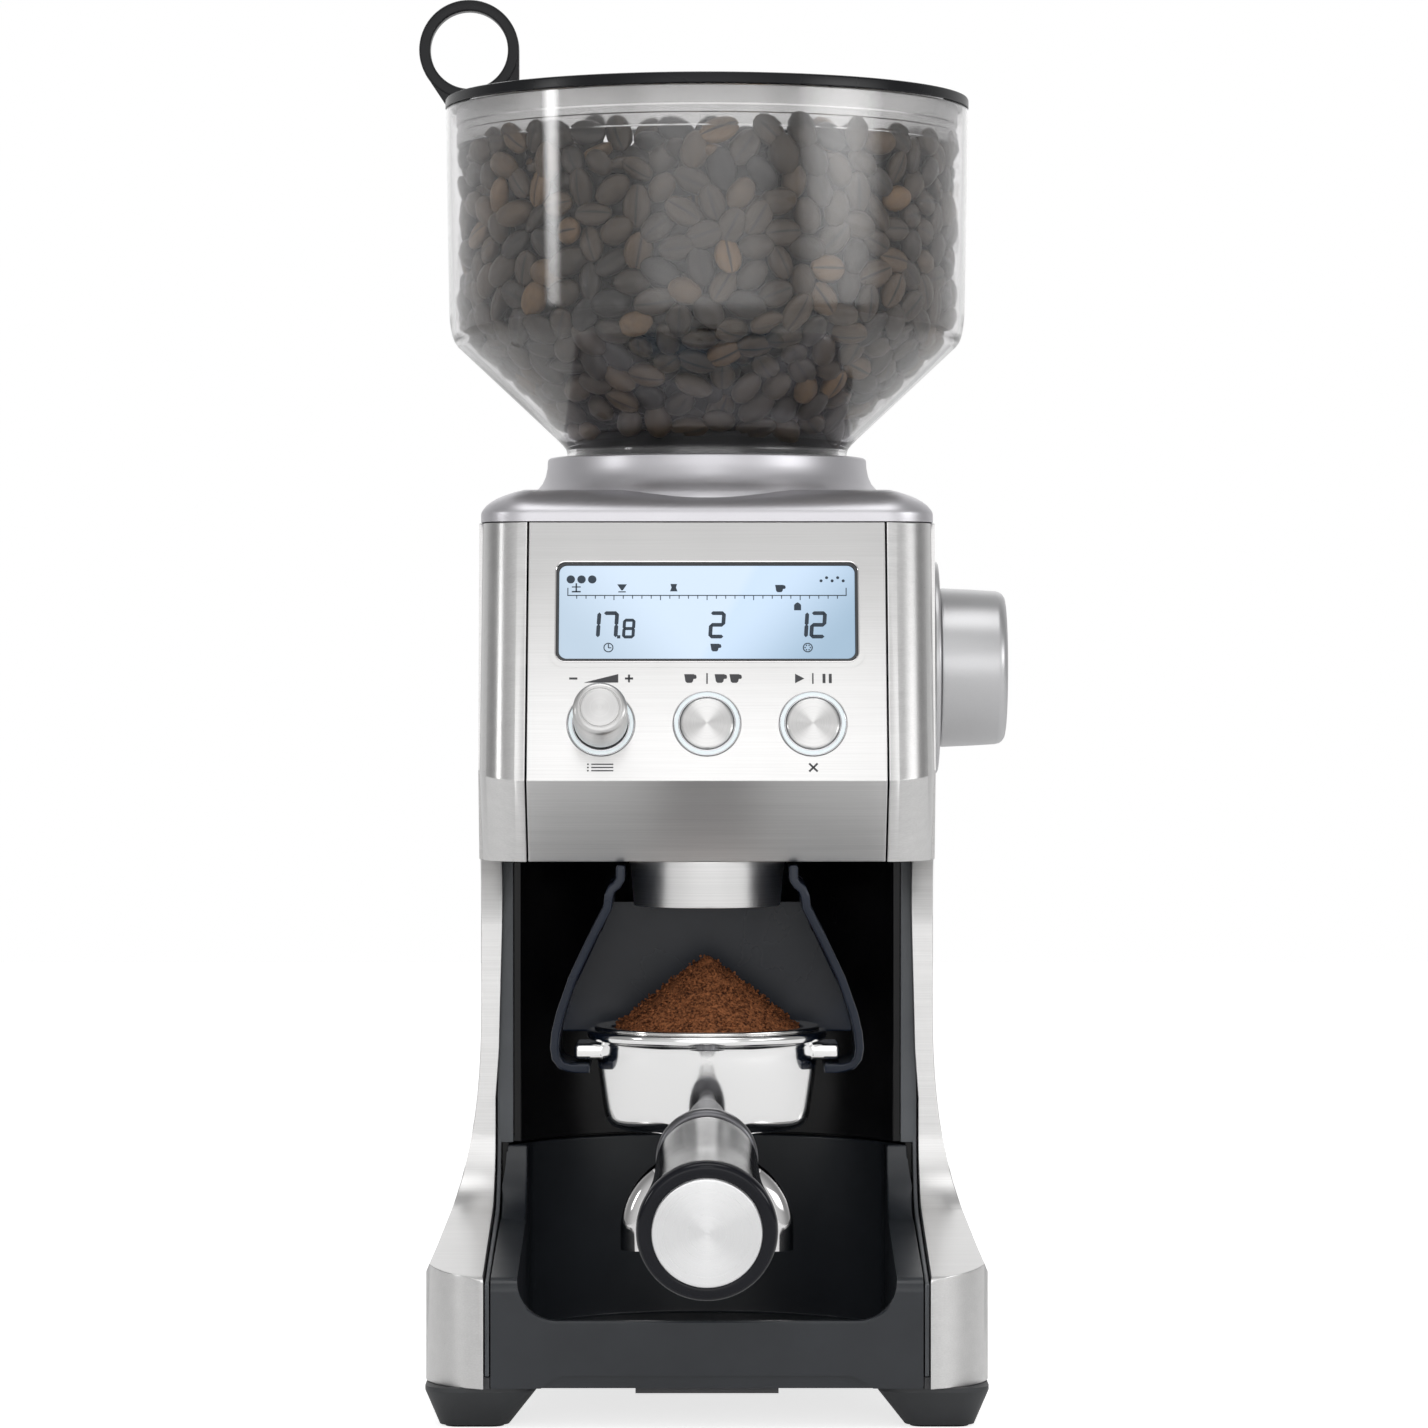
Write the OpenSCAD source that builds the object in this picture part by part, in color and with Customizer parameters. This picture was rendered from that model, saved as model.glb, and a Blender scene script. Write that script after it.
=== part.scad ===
// Burr coffee grinder with its filter holder docked under the outlet.
// Millimetres, +Z up, the front faces -Y. Every module draws about the burr axis,
// and in_row() sets that axis behind the centre of the whole object's footprint.

/* [Case] */
// Half of the case's width over the column
case_half_w = 63.4; // [62.8:0.2:64]
// Half of the head's width at its front edge
head_half_w = 61.4; // [61:0.2:62]
// Half of the width of the flared base
base_half_w = 75.5; // [74:0.5:77]
// Back face of the case behind the burr axis
back_y = 121; // [118:1:126]
// Front face of the base arms
base_front_y = -95; // [-97:1:-94]
// Underside of the case above the level that heights are drawn from
base_z = 9.2; // [9:0.1:9.6]
// Depth of the feet's soles below that level
stand_h = 2.2; // [1:0.1:3]
// Top edge of the sheet metal, under the top cap
cap_z = 239.7; // [239:0.1:240.4]
// Front edge of the head at its top
head_top_y = -55; // [-56:0.5:-54]
// Crease of the front panel, forward of the burr axis
crease_y = -77.5; // [-79:0.5:-76]
// Height of the crease
crease_z = 170; // [168:1:172]
// Lower edge of the front panel
belly_y = -60; // [-61:0.5:-59]
// Underside of the head
belly_z = 147.6; // [147:0.1:148]
// Front edge of the column
column_y = -10; // [-11:0.5:-9]
// Thickness of the case's sheet steel
sheet_t = 1.2; // [1:0.1:1.4]
// Height of the base arms at their front
arm_front_z = 38.5; // [37:0.5:39]
// Radius where the column runs into the base arms and the head
fillet_r = 20; // [16:1:24]

/* [Controls] */
// Width of the display window
window_w = 80; // [76:1:82]
// Height of the display window
window_h = 26.5; // [24:0.5:28]
// Middle of the display above the crease, measured up the panel
window_s = 47.7; // [47:0.1:48.5]
// Middle of the three controls above the crease
control_s = 16; // [15.5:0.5:17]
// Sideways distance between neighbouring controls
control_pitch = 28.5; // [27:0.5:30]
// Radius of a button
button_r = 7.2; // [6.8:0.1:7.3]
// Outer radius of the ring round a control
ring_r = 9.1; // [8.8:0.1:9.6]
// How far the amount knob stands out
knob_out = 15; // [12:0.5:16]
// Travel of a button
button_travel = 1.2; // [0.8:0.1:1.4]
// Radius of the grind size dial at its root
dial_r = 22.4; // [20:0.2:23]
// Height of the dial's axis
dial_z = 200; // [199:0.5:201]
// Outer face of the dial
dial_end_x = 84; // [82:0.5:85]

/* [Hopper] */
// Radius of the hopper at its top
hopper_r = 73.7; // [72:0.1:74]
// Top edge of the hopper's wall
hopper_top_z = 357; // [350:1:360]
// Thickness of the hopper's wall
hopper_t = 2.2; // [1.8:0.1:2.6]
// Outer radius of the hopper's neck
neck_r = 39.4; // [39:0.1:39.8]
// Outer radius of the collar that the neck stands in
collar_r = 44.9; // [44:0.1:46]
// Top of that collar
collar_z = 259; // [257:0.5:260]
// Outer radius of the pull ring on the lid
pull_r = 14.1; // [12:0.1:14.5]
// Hole radius of the pull ring
pull_hole_r = 10.9; // [9:0.1:11]

/* [Burrs and drive] */
// Teeth of the drive gear on the burr shaft
drive_teeth = 44; // [44]
// Teeth of the idler's small wheel, in mesh with the drive gear
idler_small_teeth = 24; // [24]
// Teeth of the idler's large wheel, in mesh with the motor pinion
idler_large_teeth = 56; // [56]
// Teeth of the motor pinion
motor_teeth = 14; // [14]
// Gear module of the drive
gear_m = 1; // [1]
// Crown teeth of the adjusting ring
ring_teeth = 60; // [60]
// Teeth of the dial's pinion
dial_teeth = 8; // [8]
// Radius of the motor's case
motor_r = 33; // [30:0.5:33]
// Outer radius of the grinding chamber
chamber_r = 42; // [41.5:0.1:42.2]

/* [Bay] */
// Radius of the concave wall behind the filter holder
recess_r = 57.9; // [57.5:0.1:58.2]
// Deepest point of that wall
recess_y = 26; // [24:0.5:27]
// Height where the tray's back wall ends
tray_back_z = 66; // [62:1:68]
// Half of the tray's outer width
tray_half_w = 57.3; // [56.8:0.1:57.3]
// Inner half width of the tray
tray_inner_w = 50.3; // [49:0.1:51]
// Height of the tray's front lip
tray_lip_z = 27.4; // [24:0.2:30]
// Axis of the outlet and the filter holder
outlet_y = -39; // [-39.5:0.1:-38.5]
// Outer radius of the outlet collar at its top
outlet_r = 21.3; // [20.8:0.1:21.4]

/* [Filter holder] */
// Radius of the rim
rim_r = 32.9; // [32:0.1:33]
// Top of the rim
rim_z = 100.8; // [100.4:0.1:101]
// Sideways place of each spout
spout_x = 18.4; // [17.5:0.1:19.5]
// Height of the spout tips
spout_z = 40; // [39.5:0.1:44]
// Radius of the handle's end
handle_r = 17.7; // [16:0.1:18]
// Length of the grip
grip_l = 84; // [76:1:88]

/* [Hidden] */

$fn = 64;
// Flats round a quarter turn of a rounded sheet edge
edge_steps = 8;
// Radial clearance of a running fit
fit = 0.06;
// Gap between pieces that move past each other
air = 0.4;
// Overrun of a cut past the face that it opens
over = 1;
// Larger than the whole object, for cutting blocks
big = 400;
// Burr axis behind the centre of the footprint
burr_y = 30.7;

// Tilt of the front panel from upright, and of the undercut below its crease
panel_tilt = atan2(head_top_y - crease_y, cap_z - crease_z);
undercut_tilt = atan2(belly_y - crease_y, crease_z - belly_z);
panel_l = (cap_z - crease_z) / cos(panel_tilt);
undercut_l = (crease_z - belly_z) / cos(undercut_tilt);
// Half width of the front panel, and of the side panels' inner edge beside it
front_half_w = 48.4;
seam_x = 48.9;
// The base arms' height where they would meet the column, before the fillet
arm_root_z = 52.5;
// Radius of the rounded corner at the top of the arms' front faces
arm_edge_r = 4;
// Heights between which the case flares into the base, and the flare's power
flare_top_z = 110;
flare_low_z = 38;
flare_power = 2.7;
// Plan radii of the base at its front and back corners, and of the head's front edges
base_front_r = 22;
base_back_r = 36;
head_edge_r = 12;
// Inner face of the steel beside the bay
fold_x = 59.3;
// Front flange of the column: inner edge at its top, and the height where it narrows to nothing
flange_top_x = 56.9;
flange_low_z = 71;
// Half width of the rear cover
rear_half_w = 38.2;

// Drive train: the idler and the motor stand in line behind the burr axis
function pitch_r(teeth, m = gear_m) = teeth * m / 2;
idler_y = pitch_r(drive_teeth) + pitch_r(idler_small_teeth);
motor_y = idler_y + pitch_r(idler_large_teeth) + pitch_r(motor_teeth);
gearbox_z = 152;
gearbox_split_z = 177;
gearbox_top_z = 181;
low_gear_z = 157;
high_gear_z = 167.5;
gear_h = 7;
pressure_angle = 25;
gear_backlash = 0.3;
burr_shaft_r = 4;
// Adjusting ring: mean radius of the crown teeth and the dial pinion's pitch radius
crown_r = 47.5;
dial_pitch_r = crown_r * dial_teeth / ring_teeth;
crown_pitch_z = dial_z + dial_pitch_r;
chamber_top_z = 236;
chamber_floor_z = 193;
// Recess arc's centre, and the flat of the grey trims
recess_cy = recess_y - recess_r;
trim_x = 54.4;

// Handle: the axis leaves the ferrule and drops towards its end
ferrule_y = -92;
ferrule_z = 70.1;
handle_drop = 6.1;

// ---------------------------------------------------------------- helpers

module in_row() translate([0, burr_y, stand_h]) children();

module both_sides() {
  children();
  mirror([1, 0, 0]) children();
}

// Extrudes an outline drawn in (Y, Z) along X, and one drawn in (X, Z) along Y
module along_x(w) rotate([90, 0, 90]) linear_extrude(w, center = true) children();
module along_y(y0, y1) translate([0, y1, 0]) rotate([90, 0, 0]) linear_extrude(y1 - y0) children();

module tube(r_out, r_in, h) difference() {
  cylinder(r = r_out, h = h);
  translate([0, 0, -over]) cylinder(r = r_in, h = h + 2 * over);
}

// A place on the front panel: x sideways, s up from the crease, h outwards
module on_panel(x, s, h = 0)
  translate([0, crease_y, crease_z]) rotate([90 - panel_tilt, 0, 0]) translate([x, s, h]) children();

// A rounded rectangle about the origin, and a slot with round ends along X
module rounded(w, h, r) offset(r = r, $fn = 32) square([w - 2 * r, h - 2 * r], center = true);
module slot(l, w) {
  square([l - w, w], center = true);
  for (x = [-1, 1]) translate([x * (l - w) / 2, 0]) circle(w / 2);
}

// What lies outside a round edge of radius r: the corner points to +X +Y, the edge runs along +Z
// Its end flats run on past the faces they meet.
function arc_point(r, k) = r * [cos(90 * k / edge_steps), sin(90 * k / edge_steps)];
function past(r, k, k_before) = 1.3 * arc_point(r, k) - 0.3 * arc_point(r, k_before);
module edge_cutter(r, l) {
  low = past(r, 0, 1);
  high = past(r, edge_steps, edge_steps - 1);
  linear_extrude(l) polygon(concat(
    [[2 * r, low[1]], [2 * r, 2 * r], [high[0], 2 * r], high],
    [for (k = [edge_steps - 1:-1:1]) arc_point(r, k)], [low]));
}

// Involute gear outline with one tooth on +X
function involute(a) = tan(a) * 180 / PI - a;
function half_tooth(r, teeth, m) =
  90 / teeth + involute(pressure_angle)
  - involute(acos(min(1, pitch_r(teeth, m) * cos(pressure_angle) / r)))
  - gear_backlash / 2 / pitch_r(teeth, m) * 180 / PI;
module gear_outline(teeth, m = gear_m) {
  root = pitch_r(teeth, m) - 1.2 * m;
  tip = pitch_r(teeth, m) + 0.85 * m;
  base = max(root, pitch_r(teeth, m) * cos(pressure_angle));
  radii = [base, (base + 2 * tip) / 3, tip];
  polygon([for (i = [0:teeth - 1]) let (mid = i * 360 / teeth) each concat(
    [let (a = mid - half_tooth(base, teeth, m)) root * [cos(a), sin(a)]],
    [for (r = radii) let (a = mid - half_tooth(r, teeth, m)) r * [cos(a), sin(a)]],
    [for (k = [2:-1:0]) let (r = radii[k], a = mid + half_tooth(r, teeth, m)) r * [cos(a), sin(a)]],
    [let (a = mid + half_tooth(base, teeth, m)) root * [cos(a), sin(a)]])]);
}

// ---------------------------------------------------------------- case

function case_half(z) =
  z >= flare_top_z ? case_half_w :
  z <= flare_low_z ? base_half_w :
  case_half_w + (base_half_w - case_half_w) * pow((flare_top_z - z) / (flare_top_z - flare_low_z), flare_power);

// Side view of the case, in (Y, Z)
arm_slope = atan2(arm_root_z - arm_front_z, column_y - base_front_y);
// Rounded corner, in (Y, Z), between the sloped top of an arm and its front face
function arm_corner(drop) = [for (k = [0:5]) let (a = 90 + arm_slope + (90 - arm_slope) * k / 5) [
  base_front_y + arm_edge_r * (1 + cos(a)),
  arm_front_z - drop + arm_edge_r * (tan(arm_slope) - 1 / cos(arm_slope) + sin(a))]];
module side_outline() offset(r = -fillet_r) offset(delta = fillet_r) polygon(concat([
  [back_y, base_z], [back_y, cap_z], [head_top_y, cap_z], [crease_y, crease_z], [belly_y, belly_z],
  [column_y, belly_z], [column_y, arm_root_z]], arm_corner(0), [[base_front_y, base_z]]));

// Front view of the case, in (X, Z)
module front_outline() {
  flare = [for (k = [0:12]) flare_low_z + (flare_top_z - flare_low_z) * k / 12];
  levels = concat([base_z], flare, [cap_z]);
  polygon(concat(
    [for (z = levels) [case_half(z), z]],
    [for (k = [len(levels) - 1:-1:0]) [-case_half(levels[k]), levels[k]]]));
}

module plan_outline() hull() {
  both_sides() translate([base_half_w - base_front_r, base_front_y + base_front_r]) circle(base_front_r);
  both_sides() translate([base_half_w - base_back_r, back_y - base_back_r]) circle(base_back_r);
}

// Plan of the head, which narrows a little towards its front
module head_outline() polygon([
  [-case_half_w, column_y], [-head_half_w, crease_y - over], [head_half_w, crease_y - over],
  [case_half_w, column_y], [case_half_w, back_y + over], [-case_half_w, back_y + over]]);

// The case as one block, drawn in by inset on every side
module case_block(inset = 0) difference() {
  intersection() {
    along_x(big) offset(delta = -inset) side_outline();
    along_y(-big, big) offset(delta = -inset) front_outline();
    linear_extrude(big) offset(delta = -inset) plan_outline();
    union() {
      translate([0, 0, flare_top_z]) linear_extrude(big) offset(delta = -inset) head_outline();
      translate([-big / 2, -big / 2, 0]) cube([big, big, flare_top_z]);
    }
  }
  r = head_edge_r;
  for (side = [0, 1]) mirror([side, 0, 0]) {
    on_panel(head_half_w - r, panel_l + 2 * r, -r)
      rotate([90, 0, 0]) edge_cutter(r - inset, panel_l + 3 * r);
    translate([head_half_w - r, crease_y, crease_z]) rotate([90 + undercut_tilt, 0, 0])
      translate([0, r, -r]) rotate([90, 0, 0]) edge_cutter(r - inset, undercut_l + 2 * r);
  }
}

// Skin of the case before it is cut into panels
module case_skin() difference() {
  case_block();
  intersection() {
    case_block(sheet_t);
    union() {
      translate([-big / 2, -big / 2, belly_z + sheet_t]) cube([big, big, big]);
      translate([-big / 2, 20, 0]) cube([big, big, big]);
      both_sides() translate([fold_x + sheet_t, -big / 2, 0]) cube([big, big, big]);
    }
  }
  // open underside, where the base plate goes in
  translate([0, 0, -over]) linear_extrude(base_z + 3.6 + over) offset(delta = -sheet_t) plan_outline();
}

flange_screw_z = [32, 128, 224];
flange_screw_x = 34;
vent_rows = 9;
vent_pitch = 6;
vent_z = 52;

module side_panel() {
  intersection() {
    case_skin();
    union() {
      translate([fold_x, -big / 2, 0]) cube([big, big, belly_z + sheet_t]);
      translate([seam_x, -big / 2, belly_z]) cube([big, big, big]);
      translate([rear_half_w + 0.3, 40, 0]) cube([big, big, big]);
    }
  }
  // front flange of the column, tapering downwards
  intersection() {
    along_x(big) difference() {
      side_outline();
      offset(delta = -sheet_t) side_outline();
    }
    along_y(-24, column_y + 2 * sheet_t) polygon([
      [fold_x + sheet_t / 2, flange_low_z], [fold_x + sheet_t / 2, belly_z + sheet_t / 2],
      [flange_top_x, belly_z + sheet_t / 2], [fold_x - 1, flange_low_z + 22]]);
  }
  // joggled flange behind the rear cover
  difference() {
    union() {
      translate([rear_half_w - 8, back_y - 2 * sheet_t - 0.1, 20]) cube([14, sheet_t, 212]);
      translate([rear_half_w + 1, back_y - 2 * sheet_t - 0.1, 20]) cube([5, sheet_t + 0.7, 212]);
    }
    for (z = flange_screw_z) translate([flange_screw_x, back_y + over, z])
      rotate([90, 0, 0]) cylinder(r = 1.75, h = 10);
  }
}

module left_side_panel() color("silver") in_row() mirror([1, 0, 0]) side_panel();
module right_side_panel() color("silver") in_row() difference() {
  side_panel();
  translate([0, 0, dial_z]) rotate([0, 90, 0]) cylinder(r = dial_bush_r + 0.1, h = big);
}

module front_panel() color("silver") in_row() difference() {
  intersection() {
    case_skin();
    union() {
      translate([-front_half_w, -big / 2, belly_z - over]) cube([2 * front_half_w, big / 2 - 57, big]);
      translate([-front_half_w, -big / 2, dial_z]) cube([2 * front_half_w, big / 2 - 48, big]);
    }
  }
  on_panel(0, window_s, -3) linear_extrude(6) rounded(window_w + 5, window_h + 5, 4);
  for (k = [-1:1]) on_panel(k * control_pitch, control_s, -3) cylinder(r = ring_r, h = 6);
}

// Plan of the cap, drawn in by inset: round corners of their own radius at the front and the back
cap_front_r = 14;
cap_back_r = 18;
module cap_outline(inset = 0) hull() both_sides() {
  translate([head_half_w + 0.6 - cap_front_r, head_top_y + cap_front_r]) circle(cap_front_r - inset, $fn = 24);
  translate([case_half_w - cap_back_r, back_y - cap_back_r]) circle(cap_back_r - inset, $fn = 24);
}
// The cap's shoulder: how far its edge is drawn in, its height above the panels, and how high it stays so
cap_levels = [[0, 0.3, 3.4], [1.2, 6.6, 0.1], [4.4, 9.2, 0.1], [10, 11, 0.1]];
module cap_dome(inset = 0) hull() for (level = cap_levels)
  translate([0, 0, cap_z + level[1] - inset]) linear_extrude(level[2]) cap_outline(level[0] + inset);
cap_wall = 2.4;
collar_bore_r = neck_r + 0.8;
module top_cap() color("lavender") in_row() difference() {
  union() {
    difference() {
      cap_dome();
      translate([0, 0, -cap_wall]) cap_dome(cap_wall);
    }
    rotate_extrude() polygon([
      [collar_bore_r - over, cap_z + 7], [collar_r + 4.6, cap_z + 7], [collar_r + 4.6, cap_z + 10.6],
      [collar_r + 1.9, cap_z + 11.6], [collar_r + 0.4, cap_z + 13.6], [collar_r, cap_z + 16],
      [collar_r, collar_z - 1], [collar_r - 1, collar_z], [collar_bore_r - over, collar_z]]);
  }
  translate([0, 0, cap_z - 10]) cylinder(r = collar_bore_r, h = 60);
}

gland_x = 16;
gland_z = 26;
gland_bore_r = 3.9;
module rear_cover() color("dimgray") in_row() difference() {
  intersection() {
    case_skin();
    translate([-rear_half_w, 100, 0]) cube([2 * rear_half_w, big, big]);
  }
  for (row = [0:vent_rows - 1], x = [-1, 1]) translate([x * 14, back_y, vent_z + row * vent_pitch])
    rotate([90, 0, 0]) linear_extrude(10, center = true) slot(23, 2.4);
  both_sides() for (z = flange_screw_z) translate([flange_screw_x, back_y + over, z])
    rotate([90, 0, 0]) cylinder(r = 1.75, h = 6);
  translate([gland_x, back_y + over, gland_z]) rotate([90, 0, 0]) cylinder(r = 7.5, h = 10);
}

plate_t = 3;
// The four feet, and the screws that hold them from inside
foot_places = [[60.3, -72], [60.3, 88], [-60.3, 88], [-60.3, -72]];
foot_screws = [for (p = foot_places) [p[0] + sign(p[0]) * 4, p[1]]];
module base_plate() color("#2b2c2e") in_row() difference() {
  union() {
    translate([0, 0, base_z]) linear_extrude(plate_t) intersection() {
      offset(delta = -sheet_t - 0.15) plan_outline();
      union() {
        translate([-tray_half_w - air, base_front_y + tray_skirt + 0.6])
          square([2 * tray_half_w + 2 * air, big]);
        both_sides() translate([tray_half_w + air, base_front_y]) square([big, big]);
      }
    }
    // posts under the power board, and ribs behind the bay
    for (x = [-38, 38], y = [44, 94]) translate([x, y, base_z]) cylinder(r = 3.5, h = 13);
    translate([-50, 39, base_z + 1]) cube([100, 2.4, 10]);
    translate([-50, 98, base_z + 1]) cube([100, 2.4, 10]);
    // pad under the front edge
    translate([-19, base_front_y + tray_skirt + 1.2, base_z - 1.5]) cube([38, 12, 3]);
  }
  for (p = foot_screws) translate([p[0], p[1], base_z - over]) cylinder(r = 1.75, h = 20);
}

// A foot has a wide top, a narrower sole and a rubber pad let into it
pad_t = 2.4;
// How far the soles stand outwards of the feet's tops
sole_out = 1.8;
module pad_outline() rounded(15.6, 24, 3.4);
module on_soles(l) for (p = foot_places) translate([p[0] + sign(p[0]) * sole_out, p[1], l - stand_h]) children();
module feet() color("#26282b") in_row() difference() {
  for (p = foot_places) hull() {
    translate([p[0], p[1], base_z - 1.2]) linear_extrude(1.2) rounded(29.6, 40, 7);
    translate([p[0] + sign(p[0]) * sole_out, p[1], 0.6 - stand_h]) linear_extrude(1) rounded(18.6, 27, 4.6);
  }
  on_soles(-over) linear_extrude(pad_t + over) pad_outline();
  for (p = foot_screws) translate([p[0], p[1], pad_t - stand_h + 1]) cylinder(r = 1.6, h = base_z + stand_h);
}
module foot_pads() color("#151617") in_row() on_soles(0) linear_extrude(pad_t) pad_outline();

// ---------------------------------------------------------------- bay

liner_t = 2;
bay_front_y = -7;
paddle_pivot_y = 3.4;
paddle_pivot_z = belly_z - 3.5;
paddle_pin_r = 1.2;
ceiling_half_w = 48.3;
module bay_arc(r_in, z0, z1, t = liner_t) intersection() {
  translate([0, recess_cy, z0]) tube(r_in + t, r_in, z1 - z0);
  translate([-big / 2, bay_front_y, 0]) cube([big, big, big]);
}
module recess_liner() color("#101113") in_row() difference() {
  union() {
    bay_arc(recess_r, tray_back_z + 0.6, belly_z - 0.3);
    bay_arc(recess_r, tray_back_z + 0.6, tray_back_z + 2.6, 5);
    bay_arc(recess_r + 3, base_z + plate_t + 0.1, tray_back_z + 2);
    // ceiling between the side panels
    translate([-ceiling_half_w, -56.8, belly_z + 0.1]) cube([2 * ceiling_half_w, 51, liner_t]);
    translate([0, 0, belly_z - 0.6]) linear_extrude(liner_t + 0.7) intersection() {
      translate([-ceiling_half_w, bay_front_y]) square([2 * ceiling_half_w, 60]);
      translate([0, recess_cy]) circle(recess_r + liner_t);
    }
    // ears that hold the paddle's pin
    for (x = [-9.4, 7.4]) translate([x, paddle_pivot_y - 3.5, belly_z - 7]) cube([2, 7, 7]);
  }
  translate([0, outlet_y + 1.5, belly_z - over]) cylinder(r = 10.3, h = 10);
  translate([-20, paddle_pivot_y, paddle_pivot_z]) rotate([0, 90, 0]) cylinder(r = paddle_pin_r, h = 40);
}

// Grey frame strips between the steel and the black wall
module recess_trims() color("#6f7276") in_row() both_sides() {
  intersection() {
    translate([tray_half_w + 0.5 + 0.55, 0, 0]) along_x(1.1) difference() {
      offset(delta = -sheet_t - 0.4) side_outline();
      translate([40, 0]) square([big, big]);
      translate([-big / 2, belly_z - 0.5]) square([big, big]);
      translate([-big / 2, 0]) square([big, base_z + plate_t + 0.2]);
    }
    linear_extrude(big) offset(delta = -sheet_t - 0.2) plan_outline();
  }
  translate([trim_x, column_y + sheet_t + 0.4, tray_back_z + 0.6])
    cube([tray_half_w + 0.5 - trim_x, 1.3, belly_z - tray_back_z - 1.1]);
}

module tray_plan(grow = 0) intersection() {
  square([2 * (tray_half_w + grow), big], center = true);
  union() {
    translate([0, recess_cy]) circle(recess_r + 2 + grow);
    translate([-big / 2, base_front_y]) square([big, recess_cy - base_front_y]);
  }
}
tray_floor_z = base_z + plate_t + 0.5;
// Side view of the tray, in (Y, Z), with a skirt that hangs over the base plate's front edge
tray_skirt = 3;
module tray_side() {
  offset(r = -fillet_r) offset(delta = fillet_r) polygon(concat([
    [60, tray_floor_z], [60, tray_back_z], [column_y - 1, tray_back_z], [column_y - 1, arm_root_z - 3.5]],
    arm_corner(0.2), [[base_front_y, tray_floor_z]]));
  translate([base_front_y, base_z + 0.3]) square([tray_skirt, tray_floor_z - base_z]);
}
// Front view of the shallow arch pressed into the skirt
module tray_arch() polygon([
  [-47, base_z - 2], [-44.7, base_z - 0.2], [-41.5, base_z + 2.1], [-38.3, base_z + 3.7],
  [38.3, base_z + 3.7], [41.5, base_z + 2.1], [44.7, base_z - 0.2], [47, base_z - 2]]);
module drip_tray() color("#3a3c40") in_row() difference() {
  intersection() {
    along_x(big) tray_side();
    linear_extrude(big) tray_plan();
  }
  // the hollow
  translate([0, 0, tray_floor_z + 1.8]) linear_extrude(big) intersection() {
    square([2 * tray_inner_w, big], center = true);
    union() {
      translate([0, recess_cy]) circle(recess_r);
      translate([-big / 2, base_front_y + tray_skirt]) square([big, recess_cy - base_front_y]);
    }
  }
  // the low front lip, with round lower corners
  translate([0, 0, tray_lip_z + 30]) along_y(base_front_y - over, base_front_y + 10)
    rounded(2 * tray_inner_w, 60, 10.5);
  // lightening pockets inside the thick side arms, open underneath
  both_sides() translate([tray_inner_w + 1.8, base_front_y + 8, tray_floor_z - over])
    cube([tray_half_w - tray_inner_w - 3.6, 72, 21]);
  along_y(base_front_y - over, base_front_y + 1) tray_arch();
}

outlet_low_r = outlet_r - 1.2;
outlet_bottom_z = 134.8;
module outlet_collar() color("silver") in_row() translate([0, outlet_y, 0]) difference() {
  rotate_extrude() polygon([
    [0, belly_z], [outlet_r, belly_z], [outlet_low_r, outlet_bottom_z],
    [outlet_low_r - 1.5, outlet_bottom_z], [outlet_r - 2.6, belly_z - 1.6], [0, belly_z - 1.6]]);
  translate([0, 1.5, belly_z - 5]) cylinder(r = 10.3, h = 10);
}

// The cradle's band seen from the front: outer rail, arm, hook under the holder's ear
arm_path = [[23.5, 146.6], [23.5, 142.8], [24.4, 141.3], [25.9, 140.1], [26.6, 138.4], [27, 135],
  [31.4, 126.4], [36.6, 115.4], [39.9, 106], [41.2, 100.5], [41.6, 96.4], [41.2, 93.6], [39.7, 91.6],
  [37.2, 90.8], [32, 90.8]];
band_half = 1.2;
function unit(v) = v / norm(v);
function side_of(path, i) = let (
    a = path[max(i - 1, 0)], b = path[min(i + 1, len(path) - 1)], d = unit(b - a)) [-d[1], d[0]];
function band(path, half) = concat(
  [for (i = [0:len(path) - 1]) path[i] + half * side_of(path, i)],
  [for (i = [len(path) - 1:-1:0]) path[i] - half * side_of(path, i)]);
cradle_back_y = -4;
module cradle() color("#1c1f26") in_row() {
  difference() {
    union() {
      both_sides() intersection() {
        along_y(-62, cradle_back_y) polygon(band(arm_path, band_half));
        // side view of an arm: long at its rail, narrow at its hook
        along_x(big) polygon([
          [-62, 150], [-62, 138], [-60, 128], [-55, 108], [-52.5, 96], [-51, 90], [-48, 86],
          [-27, 86], [-23, 90], [-18, 98], [-9, 105], [cradle_back_y, 107], [cradle_back_y, 150]]);
      }
      // back plate between the arms
      along_y(cradle_back_y - 0.1, cradle_back_y + 2.4) polygon([
        [26.9, 134], [31, 126], [36.4, 115], [39.8, 105], [41.2, 97.5],
        [-41.2, 97.5], [-39.8, 105], [-36.4, 115], [-31, 126], [-26.9, 134]]);
    }
    // window for the start paddle
    translate([-8, -10, 90]) cube([16, 20, 15]);
  }
}

module start_paddle() color("#1a1b1f") in_row() difference() {
  union() {
    translate([-6, 2, 94]) cube([12, 2.6, paddle_pivot_z - 94]);
    translate([-6, -5, 95]) cube([12, 7.2, 6.4]);
    translate([-6, paddle_pivot_y, paddle_pivot_z]) rotate([0, 90, 0]) cylinder(r = 2.8, h = 12);
  }
  translate([-10, paddle_pivot_y, paddle_pivot_z]) rotate([0, 90, 0]) cylinder(r = paddle_pin_r + fit, h = 20);
}
module paddle_pin() color("silver") in_row() translate([-9.4, paddle_pivot_y, paddle_pivot_z])
  rotate([0, 90, 0]) cylinder(r = paddle_pin_r, h = 18.8);

// ---------------------------------------------------------------- controls

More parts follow.
